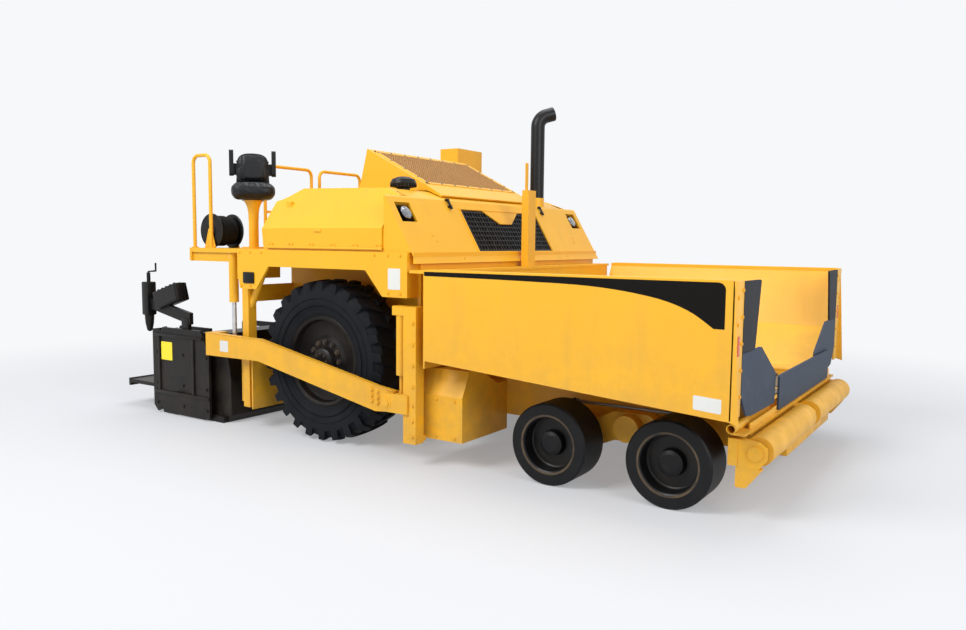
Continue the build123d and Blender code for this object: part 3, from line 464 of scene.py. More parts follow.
def plate(name, body, finish, outline, depth, place, smooth=30.0):
    """A piece that is one prism."""
    shape = bmesh.new()
    prism(shape, outline, depth, place)
    return add_piece(name, shape, body, finish, smooth)


def bars(name, body, finish, side, *boxes):
    """A piece made of slabs, each given as x, y, z of two corners and its edges' softness."""
    shape = bmesh.new()
    for x0, y0, z0, x1, y1, z1, soft in boxes:
        slab(shape, at(x0, side * y0, z0), at(x1, side * y1, z1), soft)
    add_piece(name, shape, body, finish)


def revolved(name, body, finish, profile, centre, side, steps):
    """A piece that is one body of revolution."""
    shape = bmesh.new()
    turned(shape, profile, centre, side, steps)
    return add_piece(name, shape, body, finish)


def tube(name, points, radius, body, finish, sides=12):
    """A round bar through a list of points."""
    curve = bpy.data.curves.new(name, "CURVE")
    curve.dimensions = "3D"
    curve.bevel_depth = radius
    curve.bevel_resolution = sides // 4
    curve.use_fill_caps = True
    spline = curve.splines.new("POLY")
    spline.points.add(len(points) - 1)
    for knot, point in zip(spline.points, points):
        knot.co = (*point, 1.0)
    carrier = place_object(name + "_path", curve)
    mesh = finished_mesh(carrier)
    bpy.data.objects.remove(carrier)
    return add_piece(name, mesh, body, finish)


# ---- Repeats, made by Geometry Nodes ----
def start_tree(name, sizes):
    """A tree that turns one mesh into another, with an input for each size."""
    tree = bpy.data.node_groups.new(name, "GeometryNodeTree")
    tree.interface.new_socket("Places", in_out="INPUT", socket_type="NodeSocketGeometry")
    for size in sizes:
        tree.interface.new_socket(size, in_out="INPUT", socket_type="NodeSocketFloat")
    tree.interface.new_socket("Result", in_out="OUTPUT", socket_type="NodeSocketGeometry")
    return tree, add_node(tree, "NodeGroupInput")


def end_tree(tree, shape, finish):
    """Real meshes in one finish are the tree's result."""
    real = add_node(tree, "GeometryNodeRealizeInstances", {"Geometry": shape})[0]
    dressed = add_node(tree, "GeometryNodeSetMaterial", {"Geometry": real, "Material": finish})[0]
    add_node(tree, "NodeGroupOutput", {0: dressed})
    return tree


def fastener_tree(finish, sides):
    """Bolt heads on their washers, one at each point, standing along its facing."""
    tree, enter = start_tree("fasteners", ("Head radius", "Head height"))

    def scaled(size, factor):
        return add_node(tree, "ShaderNodeMath", {0: enter[size], 1: factor},
                        operation="MULTIPLY")[0]

    def cylinder(vertices, radius, depth):
        return add_node(tree, "GeometryNodeMeshCylinder",
                        {"Vertices": vertices, "Radius": radius, "Depth": depth})["Mesh"]

    head = cylinder(sides, enter["Head radius"], enter["Head height"])
    washer = cylinder(16, scaled("Head radius", 1.45), scaled("Head height", 0.5))
    lift = add_node(tree, "ShaderNodeCombineXYZ", {"Z": scaled("Head height", 0.5)})[0]
    raised = add_node(tree, "GeometryNodeTransform", {"Geometry": head, "Translation": lift})[0]
    both = add_node(tree, "GeometryNodeJoinGeometry", {0: [raised, washer]})[0]
    facing = add_node(tree, "GeometryNodeInputNamedAttribute", {"Name": "facing"},
                      data_type="FLOAT_VECTOR")["Attribute"]
    turn = add_node(tree, "FunctionNodeAlignRotationToVector", {"Vector": facing}, axis="Z")[0]
    copies = add_node(tree, "GeometryNodeInstanceOnPoints",
                      {"Points": enter["Places"], "Instance": both, "Rotation": turn})[0]
    return end_tree(tree, copies, finish)


def lattice_tree(finish):
    """Edges of a mesh, each given a thin square section."""
    tree, enter = start_tree("wire_mesh", ("Wire radius",))
    wires = add_node(tree, "GeometryNodeMeshToCurve", {0: enter["Places"]})[0]
    section = add_node(tree, "GeometryNodeCurvePrimitiveCircle",
                       {"Resolution": 4, "Radius": enter["Wire radius"]})[0]
    swept = add_node(tree, "GeometryNodeCurveToMesh",
                     {"Curve": wires, "Profile Curve": section})[0]
    return end_tree(tree, swept, finish)


def bake(mesh, tree, sizes):
    """Runs a tree on a mesh and gives its result as a plain mesh."""
    carrier = place_object("carrier", mesh)
    modifier = carrier.modifiers.new("repeat", "NODES")
    modifier.node_group = tree
    for item in tree.interface.items_tree:
        if item.in_out == "INPUT" and item.name in sizes:
            modifier[item.identifier] = sizes[item.name]
    made = finished_mesh(carrier)
    bpy.data.objects.remove(carrier)
    return made


FASTENERS = {}


def bolts(name, body, places, radius, height, finish=bolt_steel, sides=6):
    """Bolt heads at (place, facing) pairs, all on one body."""
    key = (finish.name, sides)
    if key not in FASTENERS:
        FASTENERS[key] = fastener_tree(finish, sides)
    mesh = bpy.data.meshes.new(name + "_places")
    mesh.from_pydata([tuple(place) for place, _ in places], [], [])
    facing = mesh.attributes.new("facing", "FLOAT_VECTOR", "POINT")
    for value, (_, direction) in zip(facing.data, places):
        value.vector = direction
    made = bake(mesh, FASTENERS[key], {"Head radius": radius, "Head height": height})
    return add_piece(name, made, body, finish)


def wire_sheet(name, body, finish, lines, radius):
    """Wires along straight lines, given as pairs of points."""
    mesh = bpy.data.meshes.new(name + "_lines")
    points = [tuple(point) for line in lines for point in line]
    mesh.from_pydata(points, [(2 * i, 2 * i + 1) for i in range(len(lines))], [])
    made = bake(mesh, lattice_tree(finish), {"Wire radius": radius})
    return add_piece(name, made, body, finish, smooth=0)


# ---- Drive wheels: carcass, slanted lugs, rim and hub ----
LUG_COUNT = 26
CARCASS_R = tyre_r - 0.022
TYRE_HALF = 0.2
RIM_R = 0.375
WHEEL_Y = 1.25


def carcass_radius(across):
    """The tyre's height over its width: a flat crown that falls away to round shoulders."""
    edge = abs(across) / TYRE_HALF
    return CARCASS_R - 0.014 * edge ** 2 - 0.075 * max(0.0, edge - 0.72) ** 1.5 / 0.15


def tyre_profile():
    """Outside of the tyre from bead to bead, as (across, radius)."""
    crown = [(TYRE_HALF * step / 8, carcass_radius(TYRE_HALF * step / 8)) for step in range(-8, 9)]
    wall = ((1.0, 0.595), (1.012, 0.565), (1.0, 0.5), (0.965, 0.455), (0.93, 0.44), (0.9, 0.425),
            (0.86, RIM_R + 0.012), (0.8, RIM_R))
    right = [(TYRE_HALF * part, radius) for part, radius in wall]
    left = [(-y, radius) for y, radius in reversed(right)]
    return left + crown + right


def lug(shape, centre, angle, hand, side):
    """One slanted tread bar, from beside the middle line down over the shoulder."""
    stations, inner, outer = 7, 0.012, 0.985
    rings = []
    for step in range(stations):
        t = step / (stations - 1)
        across = hand * (inner + (TYRE_HALF * outer - inner) * min(1.0, t * 1.18))
        drop = max(0.0, t - 0.85) / 0.15
        top = tyre_r - 0.016 * (across / TYRE_HALF) ** 2 - 0.05 * drop
        foot = carcass_radius(across) - 0.03 - 0.05 * drop
        if drop:
            across = hand * (TYRE_HALF * (outer + 0.02 * drop))
        half = (0.026 + 0.008 * t) / tyre_r
        section = ((foot, -half * 1.35), (top, -half), (top, half), (foot, half * 1.35))
        rings.append(ring_of(shape, [spoke(centre, radius, angle + 0.15 * t + turn, side * across)
                                     for radius, turn in section]))
    skin_over(shape, rings)


def drive_wheel(name, side):
    body = f"drive_wheel_{name}"
    centre = Vector((axle_x, side * WHEEL_Y, axle_z))
    rubber = bmesh.new()
    turned(rubber, tyre_profile(), centre, side, steps=96)
    for i in range(LUG_COUNT):
        for hand, shift in ((1, 0.0), (-1, 0.5)):
            lug(rubber, centre, 2 * math.pi * (i + shift) / LUG_COUNT, hand, side)
    # raised rings on both side walls
    for across in (-1, 1):
        inner, outer = across * TYRE_HALF * 0.96, across * TYRE_HALF * 1.03
        for radius in (0.47, 0.53):
            turned(rubber, [(inner, radius - 0.006), (outer, radius), (inner, radius + 0.006)],
                   centre, side, steps=72)
    tyre = add_piece(f"tyre_{name}", rubber, body, tyre_rubber, smooth=35)
    rim = bmesh.new()
    turned(rim, [(-0.17, 0.3), (-0.178, RIM_R + 0.004), (-0.16, RIM_R + 0.02), (-0.15, RIM_R),
                 (0.15, RIM_R), (0.162, RIM_R + 0.02), (0.178, RIM_R + 0.004),
                 (0.168, RIM_R - 0.022), (0.12, RIM_R - 0.034), (0.1, 0.3), (0.098, 0.212),
                 (0.112, 0.2), (0.128, 0.185), (0.13, 0.12), (0.172, 0.108), (0.186, 0.09),
                 (0.19, 0.03), (0.19, 0.0), (0.0, 0.0), (0.06, 0.2), (0.06, 0.3),
                 (-0.13, RIM_R - 0.03)], centre, side, steps=72)
    disc = add_piece(f"rim_{name}", rim, body, black_paint, smooth=35)
    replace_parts(tyre, f"drive_wheel_{name}")
    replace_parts(disc, f"drive_wheel_{name}")
    bolts(f"wheel_nuts_{name}", body, bolt_circle(centre, 0.158, 12, side, 0.134), 0.017, 0.018,
          dark_casting)
    bolts(f"hub_bolts_{name}", body, bolt_circle(centre, 0.062, 8, side, 0.193), 0.009, 0.008,
          dark_casting)


def bogie_wheel(place, name, side):
    """A packed wheel's finish, with its nuts, its dished cover and its worn ring."""
    wheel = f"bogie_wheel_{place}_{name}"
    centre = Vector(centre_of(wheel))
    dress(nodes[wheel].data, wheel_finish(wheel + "_finish", centre, 0.207, 0.214))
    outer = max(abs(corner[1]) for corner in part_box(wheel))
    face = Vector((centre.x, side * (outer - 0.108), centre.z))
    bolts(f"wheel_nuts_{place}_{name}", wheel, bolt_circle(face, 0.075, 8, side), 0.011, 0.012,
          dark_casting)
    revolved(f"wheel_cover_{place}_{name}", wheel, gloss_black,
             [(0.0, 0.03), (0.003, 0.03), (0.003, 0.17), (0.009, 0.178), (0.009, 0.187),
              (0.0, 0.19)], face, side, steps=48)
    revolved(f"wheel_ring_{place}_{name}", wheel, dark_casting,
             [(0.0, 0.199), (0.004, 0.201), (0.004, 0.213), (0.0, 0.215)],
             Vector((centre.x, side * (outer - 0.002), centre.z)), side, steps=64)


def wheels(name, side):
    drive_wheel(name, side)
    bogie_wheel("front", name, side)
    bogie_wheel("rear", name, side)


both_sides(wheels)


# ---- Hopper wings: stripe, blank plate, flange with its bolts, rubber flaps, weld seam ----
DECAL = 0.0006
FLANGE_FRONT = 3.517


def smooth_line(knots, steps=6):
    """A soft curve through a few knots."""
    out = []
    for i in range(len(knots) - 1):
        p0 = Vector(knots[max(i - 1, 0)])
        p1, p2 = Vector(knots[i]), Vector(knots[i + 1])
        p3 = Vector(knots[min(i + 2, len(knots) - 1)])
        for step in range(steps):
            t = step / steps
            out.append(tuple(0.5 * (2 * p1 + (p2 - p0) * t
                                    + (2 * p0 - 5 * p1 + 4 * p2 - p3) * t ** 2
                                    + (3 * p1 - p0 - 3 * p2 + p3) * t ** 3)))
    return out + [tuple(knots[-1])]


def wing_details(name, side):
    body = f"wing_{name}"
    rear, face_y, top = wing_low.x - axle_x, wing_high.y, wing_high.z
    on_skin = flank(side, face_y)
    # the stripe's lower edge falls in a curve to its square front end, with a round top corner
    under_edge = smooth_line([(rear + run, top - drop) for run, drop in (
        (0.004, 0.043), (0.75, 0.05), (1.34, 0.065), (1.75, 0.115), (1.98, 0.185),
        (2.14, 0.285))])
    end_x, edge_z, shoulder = rear + 2.205, top - 0.012, 0.045
    corner = [(end_x + shoulder * (math.sin(a) - 1), edge_z + shoulder * (math.cos(a) - 1))
              for a in (math.pi / 2 * (1 - step / 6) for step in range(7))]
    plate(f"wing_stripe_{name}", body, stripe_black,
          under_edge + [(end_x, top - 0.285)] + corner + [(rear + 0.004, edge_z)], DECAL, on_skin,
          smooth=0)
    plate(f"wing_plate_{name}", body, plate_white,
          rounded([(3.29, 0.726), (3.46, 0.714), (3.46, 0.802), (3.29, 0.812)], 0.008), DECAL,
          on_skin, smooth=0)
    # weld seam along the foot
    tube(f"wing_seam_{name}",
         [at(x, side * (face_y - 0.0045), z)
          for x, z in ((rear + 0.01, 0.838), (1.9, 0.790), (2.6, 0.741), (3.5, 0.680))],
         0.005, body, hopper_yellow, sides=8)
    bars(f"wing_flange_{name}", body, hopper_yellow, side,
         (3.5045, 1.464, 0.678, FLANGE_FRONT, face_y, 1.499, 0.002))
    for part, rubber, outline in (
            ("lower", flap_rubber, [(0.64, 0.628), (1.215, 0.64), (1.33, 0.655), (1.46, 0.8),
                                    (1.46, 1.058), (1.03, 1.058), (0.63, 0.835)]),
            ("upper", strip_rubber, [(1.185, 1.056), (1.46, 1.056), (1.463, 1.493),
                                     (1.09, 1.49)])):
        flap = plate(f"flap_{part}_{name}", body, rubber, rounded(outline, 0.02, 3), 0.014,
                     lambda u, v, w: at(3.505 + w, side * u, v))
        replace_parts(flap, f"wing_flap_{name}")
    rows = [(at(FLANGE_FRONT, side * (1.61 - 0.03 * (z > 1.2)), z), FORWARD)
            for z in (0.76, 0.92, 1.08, 1.24, 1.4)]
    rows += [(at(FLANGE_FRONT, side * 1.49, z), FORWARD) for z in (0.80, 0.96, 1.12, 1.28, 1.44)]
    bolts(f"flange_bolts_{name}", body, rows, 0.010, 0.009, hopper_yellow)
    bars(f"wing_reflector_{name}", body, reflector_red, side,
         (3.5165, 1.53, 1.05, 3.521, 1.57, 1.17, 0.002))
    # rolled edge along the top
    bars(f"wing_cap_{name}", body, hopper_yellow, side,
         (rear + 0.02, 1.6, top - 0.004, 3.49, 1.648, top + 0.004, 0.003))


both_sides(wing_details)


# ---- Hood: radiator mesh, grille, lamp lenses, hinges, latches and panel bolts ----
lid_top = Vector((axle_x - 0.07, 0.0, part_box("radiator_hood")[1][2]))
lid_run = Vector((axle_x + 0.61, 0.0, 2.185)) - lid_top
down = lid_run.normalized()
lid_out = Vector((-down.z, 0.0, down.x))


def on_lid(across, along, lift):
    """A place on the radiator hood's slope, measured down from its top edge."""
    return lid_top + Vector((0, across, 0)) + down * along + lid_out * lift


def lid_mesh():
    """Slanting wires both ways over the radiator opening, in a flat frame."""
    half, start, end = 0.7, 0.058, lid_run.length - 0.058
    height, pitch = end - start, 0.03
    lines = []
    for i in range(1, int((2 * half + height) / pitch)):
        left = -half + i * pitch
        # each wire runs from the upper edge down to the lower one, cut at the frame's sides
        for a, b in ((left, left - height), (left - height, left)):
            enter, leave = sorted((limit - a) / (b - a) for limit in (-half, half))
            enter, leave = max(0.0, enter), min(1.0, leave)
            if enter < leave:
                lines.append([on_lid(a + (b - a) * t, start + height * t, 0.003)
                              for t in (enter, leave)])
    wire_sheet("radiator_mesh", "radiator_hood", mesh_brass, lines, 0.0032)
    border = bmesh.new()
    side, upper, lower, width = half + 0.02, start - 0.02, end + 0.02, 0.03
    for box in ((-side, upper, side, upper + width), (side - width, upper, side, lower),
                (-side, lower - width, side, lower), (-side, upper, width - side, lower)):
        prism(border, rectangle(*box), 0.006, on_lid)
    add_piece("radiator_mesh_frame", border, "radiator_hood", yellow_paint)
    heads = [(u, v) for u in (-0.705, 0.705) for v in (0.08, 0.25, 0.42, 0.59, 0.7)]
    heads += [(u, v) for v in (start - 0.005, end + 0.005)
              for u in (-0.5, -0.3, -0.1, 0.1, 0.3, 0.5)]
    bolts("radiator_mesh_bolts", "radiator_hood",
          [(on_lid(u, v, 0.007), lid_out) for u, v in heads], 0.008, 0.006)


lid_mesh()

nose_foot = Vector((axle_x + 1.12, 0.0, 1.54))
up_nose = (Vector((axle_x + 0.82, 0.0, 2.05)) - nose_foot).normalized()
nose_out = Vector((up_nose.z, 0.0, -up_nose.x))


def on_nose(across, up, lift):
    """A place on the slanting nose, measured up from its foot."""
    return nose_foot + Vector((0, across, 0)) + up_nose * up + nose_out * lift


def grille_details():
    """Fine mesh and a black sheet of painted shade behind the grille's bars, its rim, and the
    middle blade.
    """
    half, foot, top, bar, wire_lift = 0.64, 0.1, 0.512, 0.016, -0.018
    rim = bmesh.new()
    for box in ((-half - bar, foot - bar, half + bar, foot),
                (-half - bar, top, half + bar, top + bar),
                (-half - bar, foot, -half, top), (half, foot, half + bar, top)):
        prism(rim, rectangle(*box), 0.006, on_nose)
    add_piece("grille_rim", rim, "tractor", yellow_paint)
    plate("grille_blade", "tractor", yellow_paint,
          [(-0.3, top), (-0.1, 0.383), (0.1, 0.383), (0.3, top)], 0.01,
          lambda u, v, w: on_nose(u, v, w - 0.008), smooth=0)
    # a black sheet just behind the bars: painted shade for the dark space inside the nose
    plate("grille_shade_sheet", "tractor", gloss_black, rectangle(-half, foot, half, top), 0.001,
          lambda u, v, w: on_nose(u, v, w - 0.022), smooth=0)
    across = [-half + 2 * half * i / 40 for i in range(1, 40)]
    upward = [foot + (top - foot) * i / 20 for i in range(1, 20)]
    lines = [[on_nose(u, v, wire_lift) for v in (foot, top)] for u in across]
    lines += [[on_nose(u, v, wire_lift) for u in (-half, half)] for v in upward]
    wire_sheet("grille_mesh", "tractor", worn_steel, lines, 0.0014)


grille_details()


def lamp_details(name, side):
    lamp_y, lamp_up = 1.39, 0.4575
    lens = bmesh.new()
    stacked(lens, lambda x, y, lift: on_nose(side * lamp_y + x, lamp_up + y, lift),
            ((0.056, -0.006), (0.052, 0.0), (0.04, 0.004), (0.022, 0.007), (0.004, 0.008)), 32,
            ends=(-1,))
    add_piece(f"lamp_lens_{name}", lens, "tractor", lamp_glass)


both_sides(lamp_details)


def hood_details(name, side):
    body = f"side_door_{name}"

    def beside_lamp(u, v, w):
        return on_nose(side * 0.78 + u, v, w)

    # hinge knuckles along the door's foot, with their screws, and a latch near its top
    hinges = (-0.44, -0.2, 0.04, 0.28, 0.52, 0.76)
    bars(f"door_hinges_{name}", body, yellow_paint, side,
         *[(x - 0.035, 1.566, 1.637, x + 0.035, 1.585, 1.66, 0.006) for x in hinges])
    bolts(f"door_bolts_{name}", body,
          flank_bolts(side, 1.576, [x + dx for x in hinges for dx in (-0.02, 0.02)], (1.675,)),
          0.007, 0.005, yellow_paint)
    bars(f"door_latch_{name}", body, yellow_paint, side,
         (0.07, 1.573, 1.772, 0.15, 1.58, 1.798, 0.004),
         (0.085, 1.574, 1.779, 0.135, 1.586, 1.791, 0.004))
    # rubber strap latch at the top of the nose
    strap = bmesh.new()
    for up in (0.52, 0.585):
        prism(strap, rectangle(-0.022, up, 0.022, up + 0.016), 0.018, beside_lamp)
    prism(strap, rounded(rectangle(-0.01, 0.5, 0.01, 0.595), 0.008), 0.01,
          lambda u, v, w: beside_lamp(u, v, w + 0.012))
    add_piece(f"nose_latch_{name}", strap, "tractor", black_paint)
    # panel screws along the fender's edge and on the nose
    panel_y = 1.582
    rows = flank_bolts(side, panel_y, (-0.84, -0.7, -0.56, 0.72, 0.86, 0.98), (1.6,))
    rows += flank_bolts(side, panel_y, (-0.82, -0.7, 0.86, 0.98), (1.31,))
    bolts(f"fender_bolts_{name}", "tractor", rows, 0.009, 0.007, yellow_paint)
    bolts(f"nose_bolts_{name}", "tractor",
          [(on_nose(side * y, up, 0.001), nose_out)
           for y, up in ((1.2, 0.25), (1.17, 0.2), (0.9, 0.04))],
          0.007, 0.005, yellow_paint)
    # blank plate on the fender's front leg, and a square lamp on its rear leg
    plate(f"fender_plate_{name}", "tractor", plate_white,
          rounded(rectangle(0.86, 1.34, 0.98, 1.5), 0.006), 0.002, flank(side, 1.58), smooth=0)
    bars(f"fender_lamp_{name}", "tractor", black_paint, side,
         (-0.787, 1.579, 1.329, -0.65, 1.592, 1.426, 0.006))


both_sides(hood_details)


# ---- Seats: blown cushions with sewn channels and piping ----
CHANNEL_DEPTH = 0.006
CHANNEL_SPREAD = 0.00005
SWELL = 0.012
EDGE_ROOM = 0.022
CLOTH_FRAMES = 20
SEAT_TURN = math.radians(40.0)


def pad_form(size, bulge, taper):
    """A rounded box of small faces, already a little crowned, and narrower towards -x."""
    power = 3.6
    shape = bmesh.new()
    bmesh.ops.create_cube(shape, size=1.0)
    bmesh.ops.subdivide_edges(shape, edges=shape.edges, cuts=14, use_grid_fill=True)
    for vert in shape.verts:
        point = vert.co * 2
        length = sum(abs(part) ** power for part in point) ** (1 / power)
        x, y, z = (part / length for part in point)
        crown = 1.0 + bulge * (1 - x * x) * (1 - y * y)
        narrow = 1.0 - taper * (1.0 - x) / 2
        vert.co = (x * size[0] / 2, y * size[1] / 2 * narrow, z * size[2] / 2 * crown)
    return shape


def blown(mesh):
    """Lets cloth under pressure swell a closed form, at most by SWELL."""
    carrier = place_object("pad", mesh)
    remesh = carrier.modifiers.new("even", "REMESH")
    remesh.mode = "VOXEL"
    remesh.voxel_size = 0.0075
    even = finished_mesh(carrier)
    carrier.modifiers.clear()
    carrier.data = even
    start = [vert.co.copy() for vert in even.vertices]
    cloth = carrier.modifiers.new("cloth", "CLOTH")
    cloth.settings.use_pressure = True
    cloth.settings.uniform_pressure_force = 4.0
    cloth.settings.quality = 4
    cloth.settings.effector_weights.gravity = 0.0
    cloth.collision_settings.use_self_collision = False
    for step in range(1, CLOTH_FRAMES + 1):
        bpy.context.scene.frame_set(step)
    swollen = finished_mesh(carrier)
    bpy.data.objects.remove(carrier)
    bpy.context.scene.frame_set(1)
    for vert, before in zip(swollen.vertices, start):
        move = vert.co - before
        if move.length > SWELL:
            vert.co = before + move * (SWELL / move.length)
    return swollen


def cushion(name, body, node_name, size, place, channels, crown, taper=0.0):
    """One padded piece: swollen form, channels pressed in after it, and piping round its edge."""
    mesh = mesh_of(name, pad_form([length - EDGE_ROOM for length in size], crown, taper))
    mesh = blown(mesh)
    for vert in mesh.vertices:
        x, y, z = vert.co
        if z > 0:
            z -= sum(CHANNEL_DEPTH * math.exp(-(vert.co[axis] - line) ** 2 / CHANNEL_SPREAD)
                     for axis, line in channels)
        vert.co = [max(-length / 2, min(length / 2, part))
                   for part, length in zip((x, y, z), size)]
    skin = BVHTree.FromPolygons([vert.co for vert in mesh.vertices],
                                [tuple(face.vertices) for face in mesh.polygons])
    mesh.transform(place)
    piece = add_piece(name, mesh, body, seat_vinyl, smooth=0)
    piece.data.shade_smooth()
    fine = piece.modifiers.new("fine", "SUBSURF")
    fine.levels = fine.render_levels = 1
    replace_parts(piece, node_name)
    # piping round the upper and the lower edge, laid on the skin
    u, v = size[0] / 2 - EDGE_ROOM, size[1] / 2 - EDGE_ROOM
    loop = rounded(rectangle(-u, -v, u, v), 0.09, steps=8)
    for edge, lift in (("upper", size[2] * 0.22), ("lower", -size[2] * 0.22)):
        near = [Vector((a, b * (1.0 - taper * (1.0 - a / u) / 2), lift))
                for a, b in loop + loop[:1]]
        tube(f"{name}_piping_{edge}", [place @ skin.find_nearest(point)[0] for point in near],
             0.004, body, seat_vinyl, sides=8)


def seat(name, side):
    body = f"seat_{name}"
    turn = side * SEAT_TURN
    foot = at(-1.15, side * 1.15, 2.0705)
    around = Matrix.Rotation(turn, 4, "Z")

    def on_seat(x, y, z):
        return foot + around.to_3x3() @ Vector((x, y, z))

    # turned yellow cone under a black pressed shell with upright arm pads
    cone = bmesh.new()
    stacked(cone, on_seat, ((0.047, -0.178), (0.048, -0.12), (0.055, -0.07), (0.069, -0.03),
                            (0.088, -0.002), (0.088, 0.004)), 40)
    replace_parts(add_piece(f"seat_cone_{name}", cone, body, yellow_paint, smooth=50),
                f"seat_frame_{name}")
    shell = bmesh.new()
    prism(shell, rounded(rectangle(-0.2, -0.1, 0.1, 0.1), 0.05), 0.04,
          lambda u, v, w: on_seat(u, v, 0.003 + w))
    prism(shell, rounded([(-0.16, 0.02), (0.16, 0.02), (0.14, 0.45), (-0.14, 0.45)], 0.09, 8),
          0.05, lambda u, v, w: on_seat(-0.233 + w, u, v))
    for arm in (-1, 1):
        prism(shell, rounded([(-0.235, 0.24), (-0.165, 0.24), (-0.16, 0.485), (-0.225, 0.485)],
                             0.03, 8), 0.04, lambda u, v, w: on_seat(u, arm * (0.175 + w), v))
        prism(shell, rectangle(-0.228, 0.25, -0.2, 0.36), 0.06,
              lambda u, v, w: on_seat(u, arm * (0.12 + w), v))
    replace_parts(add_piece(f"seat_shell_{name}", shell, body, gloss_black), f"seat_frame_{name}")
    lean = Matrix.Rotation(math.radians(90.0), 4, "Y")
    x_axis, y_axis = 0, 1
    cushion(f"seat_cushion_{name}", body, f"seat_pads_{name}", (0.42, 0.44, 0.155),
            Matrix.Translation(on_seat(0.02, 0.0, 0.086)) @ around,
            ((y_axis, -0.11), (y_axis, 0.11), (x_axis, -0.13)), 0.12)
    cushion(f"seat_back_{name}", body, f"seat_pads_{name}", (0.3, 0.35, 0.1),
            Matrix.Translation(on_seat(-0.15, 0.0, 0.313)) @ around @ lean,
            ((y_axis, -0.09), (y_axis, 0.09)), 0.3, 0.16)
    # bolts in the back of the shell
    back = Vector((-math.cos(turn), -math.sin(turn), 0.0))
    rows = [(on_seat(-0.234, y, z), back) for y in (-0.14, 0.14) for z in (0.1, 0.22, 0.38)]
    bolts(f"seat_bolts_{name}", body, rows, 0.008, 0.006, black_paint)


both_sides(seat)


# ---- Tow points, tow arms, chassis and bogies: bolts, nuts, welds and blank plates ----
ARM_Y = 1.6


def undercarriage(name, side):
    # only the column of the guide that the slides stay clear of carries bolts
    bolts(f"guide_bolts_{name}", "tractor",
          flank_bolts(side, 1.622, (1.132,), (0.24, 0.36, 0.48, 0.62, 0.78, 0.94, 1.1)),
          0.012, 0.01, yellow_paint)
    bolts(f"side_box_bolts_{name}", "tractor",
          flank_bolts(side, 1.482, (1.1, 1.25, 1.42), (0.24, 0.52)),
          0.010, 0.008, yellow_paint)
    pins = [pin for x in (0.71, 0.77)
            for pin in flank_bolts(side, 1.601, (x,), [0.502 - 0.21 * (x - 0.76) + lift
                                                       for lift in (-0.045, 0.0, 0.045)])]
    bolts(f"arm_bolts_{name}", "screed", pins, 0.015, 0.013, worn_yellow)
    plate(f"arm_plate_{name}", "screed", plate_white,
          rounded(rectangle(-1.1, 0.70, -0.99, 0.80), 0.006), 0.002, flank(side, ARM_Y),
          smooth=0)
    bolts(f"tow_pin_nut_{name}", "tow_slides", flank_bolts(side, 1.6415, (0.887,), (0.475,)),
          0.034, 0.008, worn_yellow)
    tube(f"arm_weld_{name}",
         [at(x, side * (ARM_Y + 0.002), z) for x, z in ((0.93, 0.562), (0.745, 0.585),
                                                        (0.1, 0.712), (-0.59, 0.846),
                                                        (-1.29, 0.859))],
         0.004, "screed", yellow_paint, sides=8)
    knees = [(at(x + 0.03 * math.cos(a), side * (1.19 + 0.03 * math.sin(a)), 0.3985), UP)
             for x in (3.059, 2.18) for a in angles(6)]
    bolts(f"kingpin_bolts_{name}", "tractor", knees, 0.005, 0.004)


both_sides(undercarriage)


# ---- Push bar, apron, bumper and rollers ----
def front_details():
    bars("front_apron", "tractor", worn_yellow, 1,
         (3.513, -1.24, 0.52, 3.525, 1.24, 0.596, 0.002),
         (3.44, -1.24, 0.541, 3.52, 1.24, 0.557, 0.002))
    sheet = plate("centre_sheet", "tractor", flap_rubber,
                  rounded(rectangle(-0.6, 0.57, 1.1, 0.815), 0.02, 3), 0.014,
                  lambda u, v, w: at(3.5252 + w, u, v))
    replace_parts(sheet, "centre_flap")
    # low bumper bar on its hangers
    bars("bumper_bar", "tractor", worn_yellow, 1, (3.5, -0.38, 0.2, 3.56, 1.108, 0.262, 0.006),
         *[(3.44, y - 0.02, 0.205, 3.505, y + 0.02, 0.352, 0.003) for y in (-0.3, 0.4, 1.03)])
    cheeks, stubs = bmesh.new(), bmesh.new()
    for _, side in SIDES:
        prism(cheeks, rounded([(3.478, 0.345), (3.478, 0.215), (3.543, 0.215), (3.64, 0.345)],
                              0.012), 0.056, flank(side, 1.32))
        turned(stubs, [(1.15, 0.0), (1.15, 0.03), (1.44, 0.03), (1.44, 0.024), (1.2, 0.024),
                       (1.2, 0.0)], at(3.46, 0.0, 0.586), side, steps=32)
    add_piece("bumper_cheeks", cheeks, "tractor", worn_yellow)
    add_piece("pipe_stubs", stubs, "tractor", worn_yellow)


def roller_details(name, side):
    """A round nut on the roller's pin, and thin bands round the roller."""
    x, _, z = centre_of(f"push_roller_{name}")
    bolts(f"roller_nut_{name}", "tractor",
          [(Vector((x, side * 1.3765, z)), Vector((0, side, 0)))], 0.045, 0.014,
          worn_yellow, sides=24)
    bands = bmesh.new()
    for y in (0.1, 0.35, 0.65, 0.95, 1.28):
        turned(bands, [(-0.016, 0.0919), (-0.014, 0.0928), (0.014, 0.0928), (0.016, 0.0919)],
               Vector((x, side * y, z)), side, steps=40)
    add_piece(f"roller_bands_{name}", bands, f"push_roller_{name}", worn_yellow)


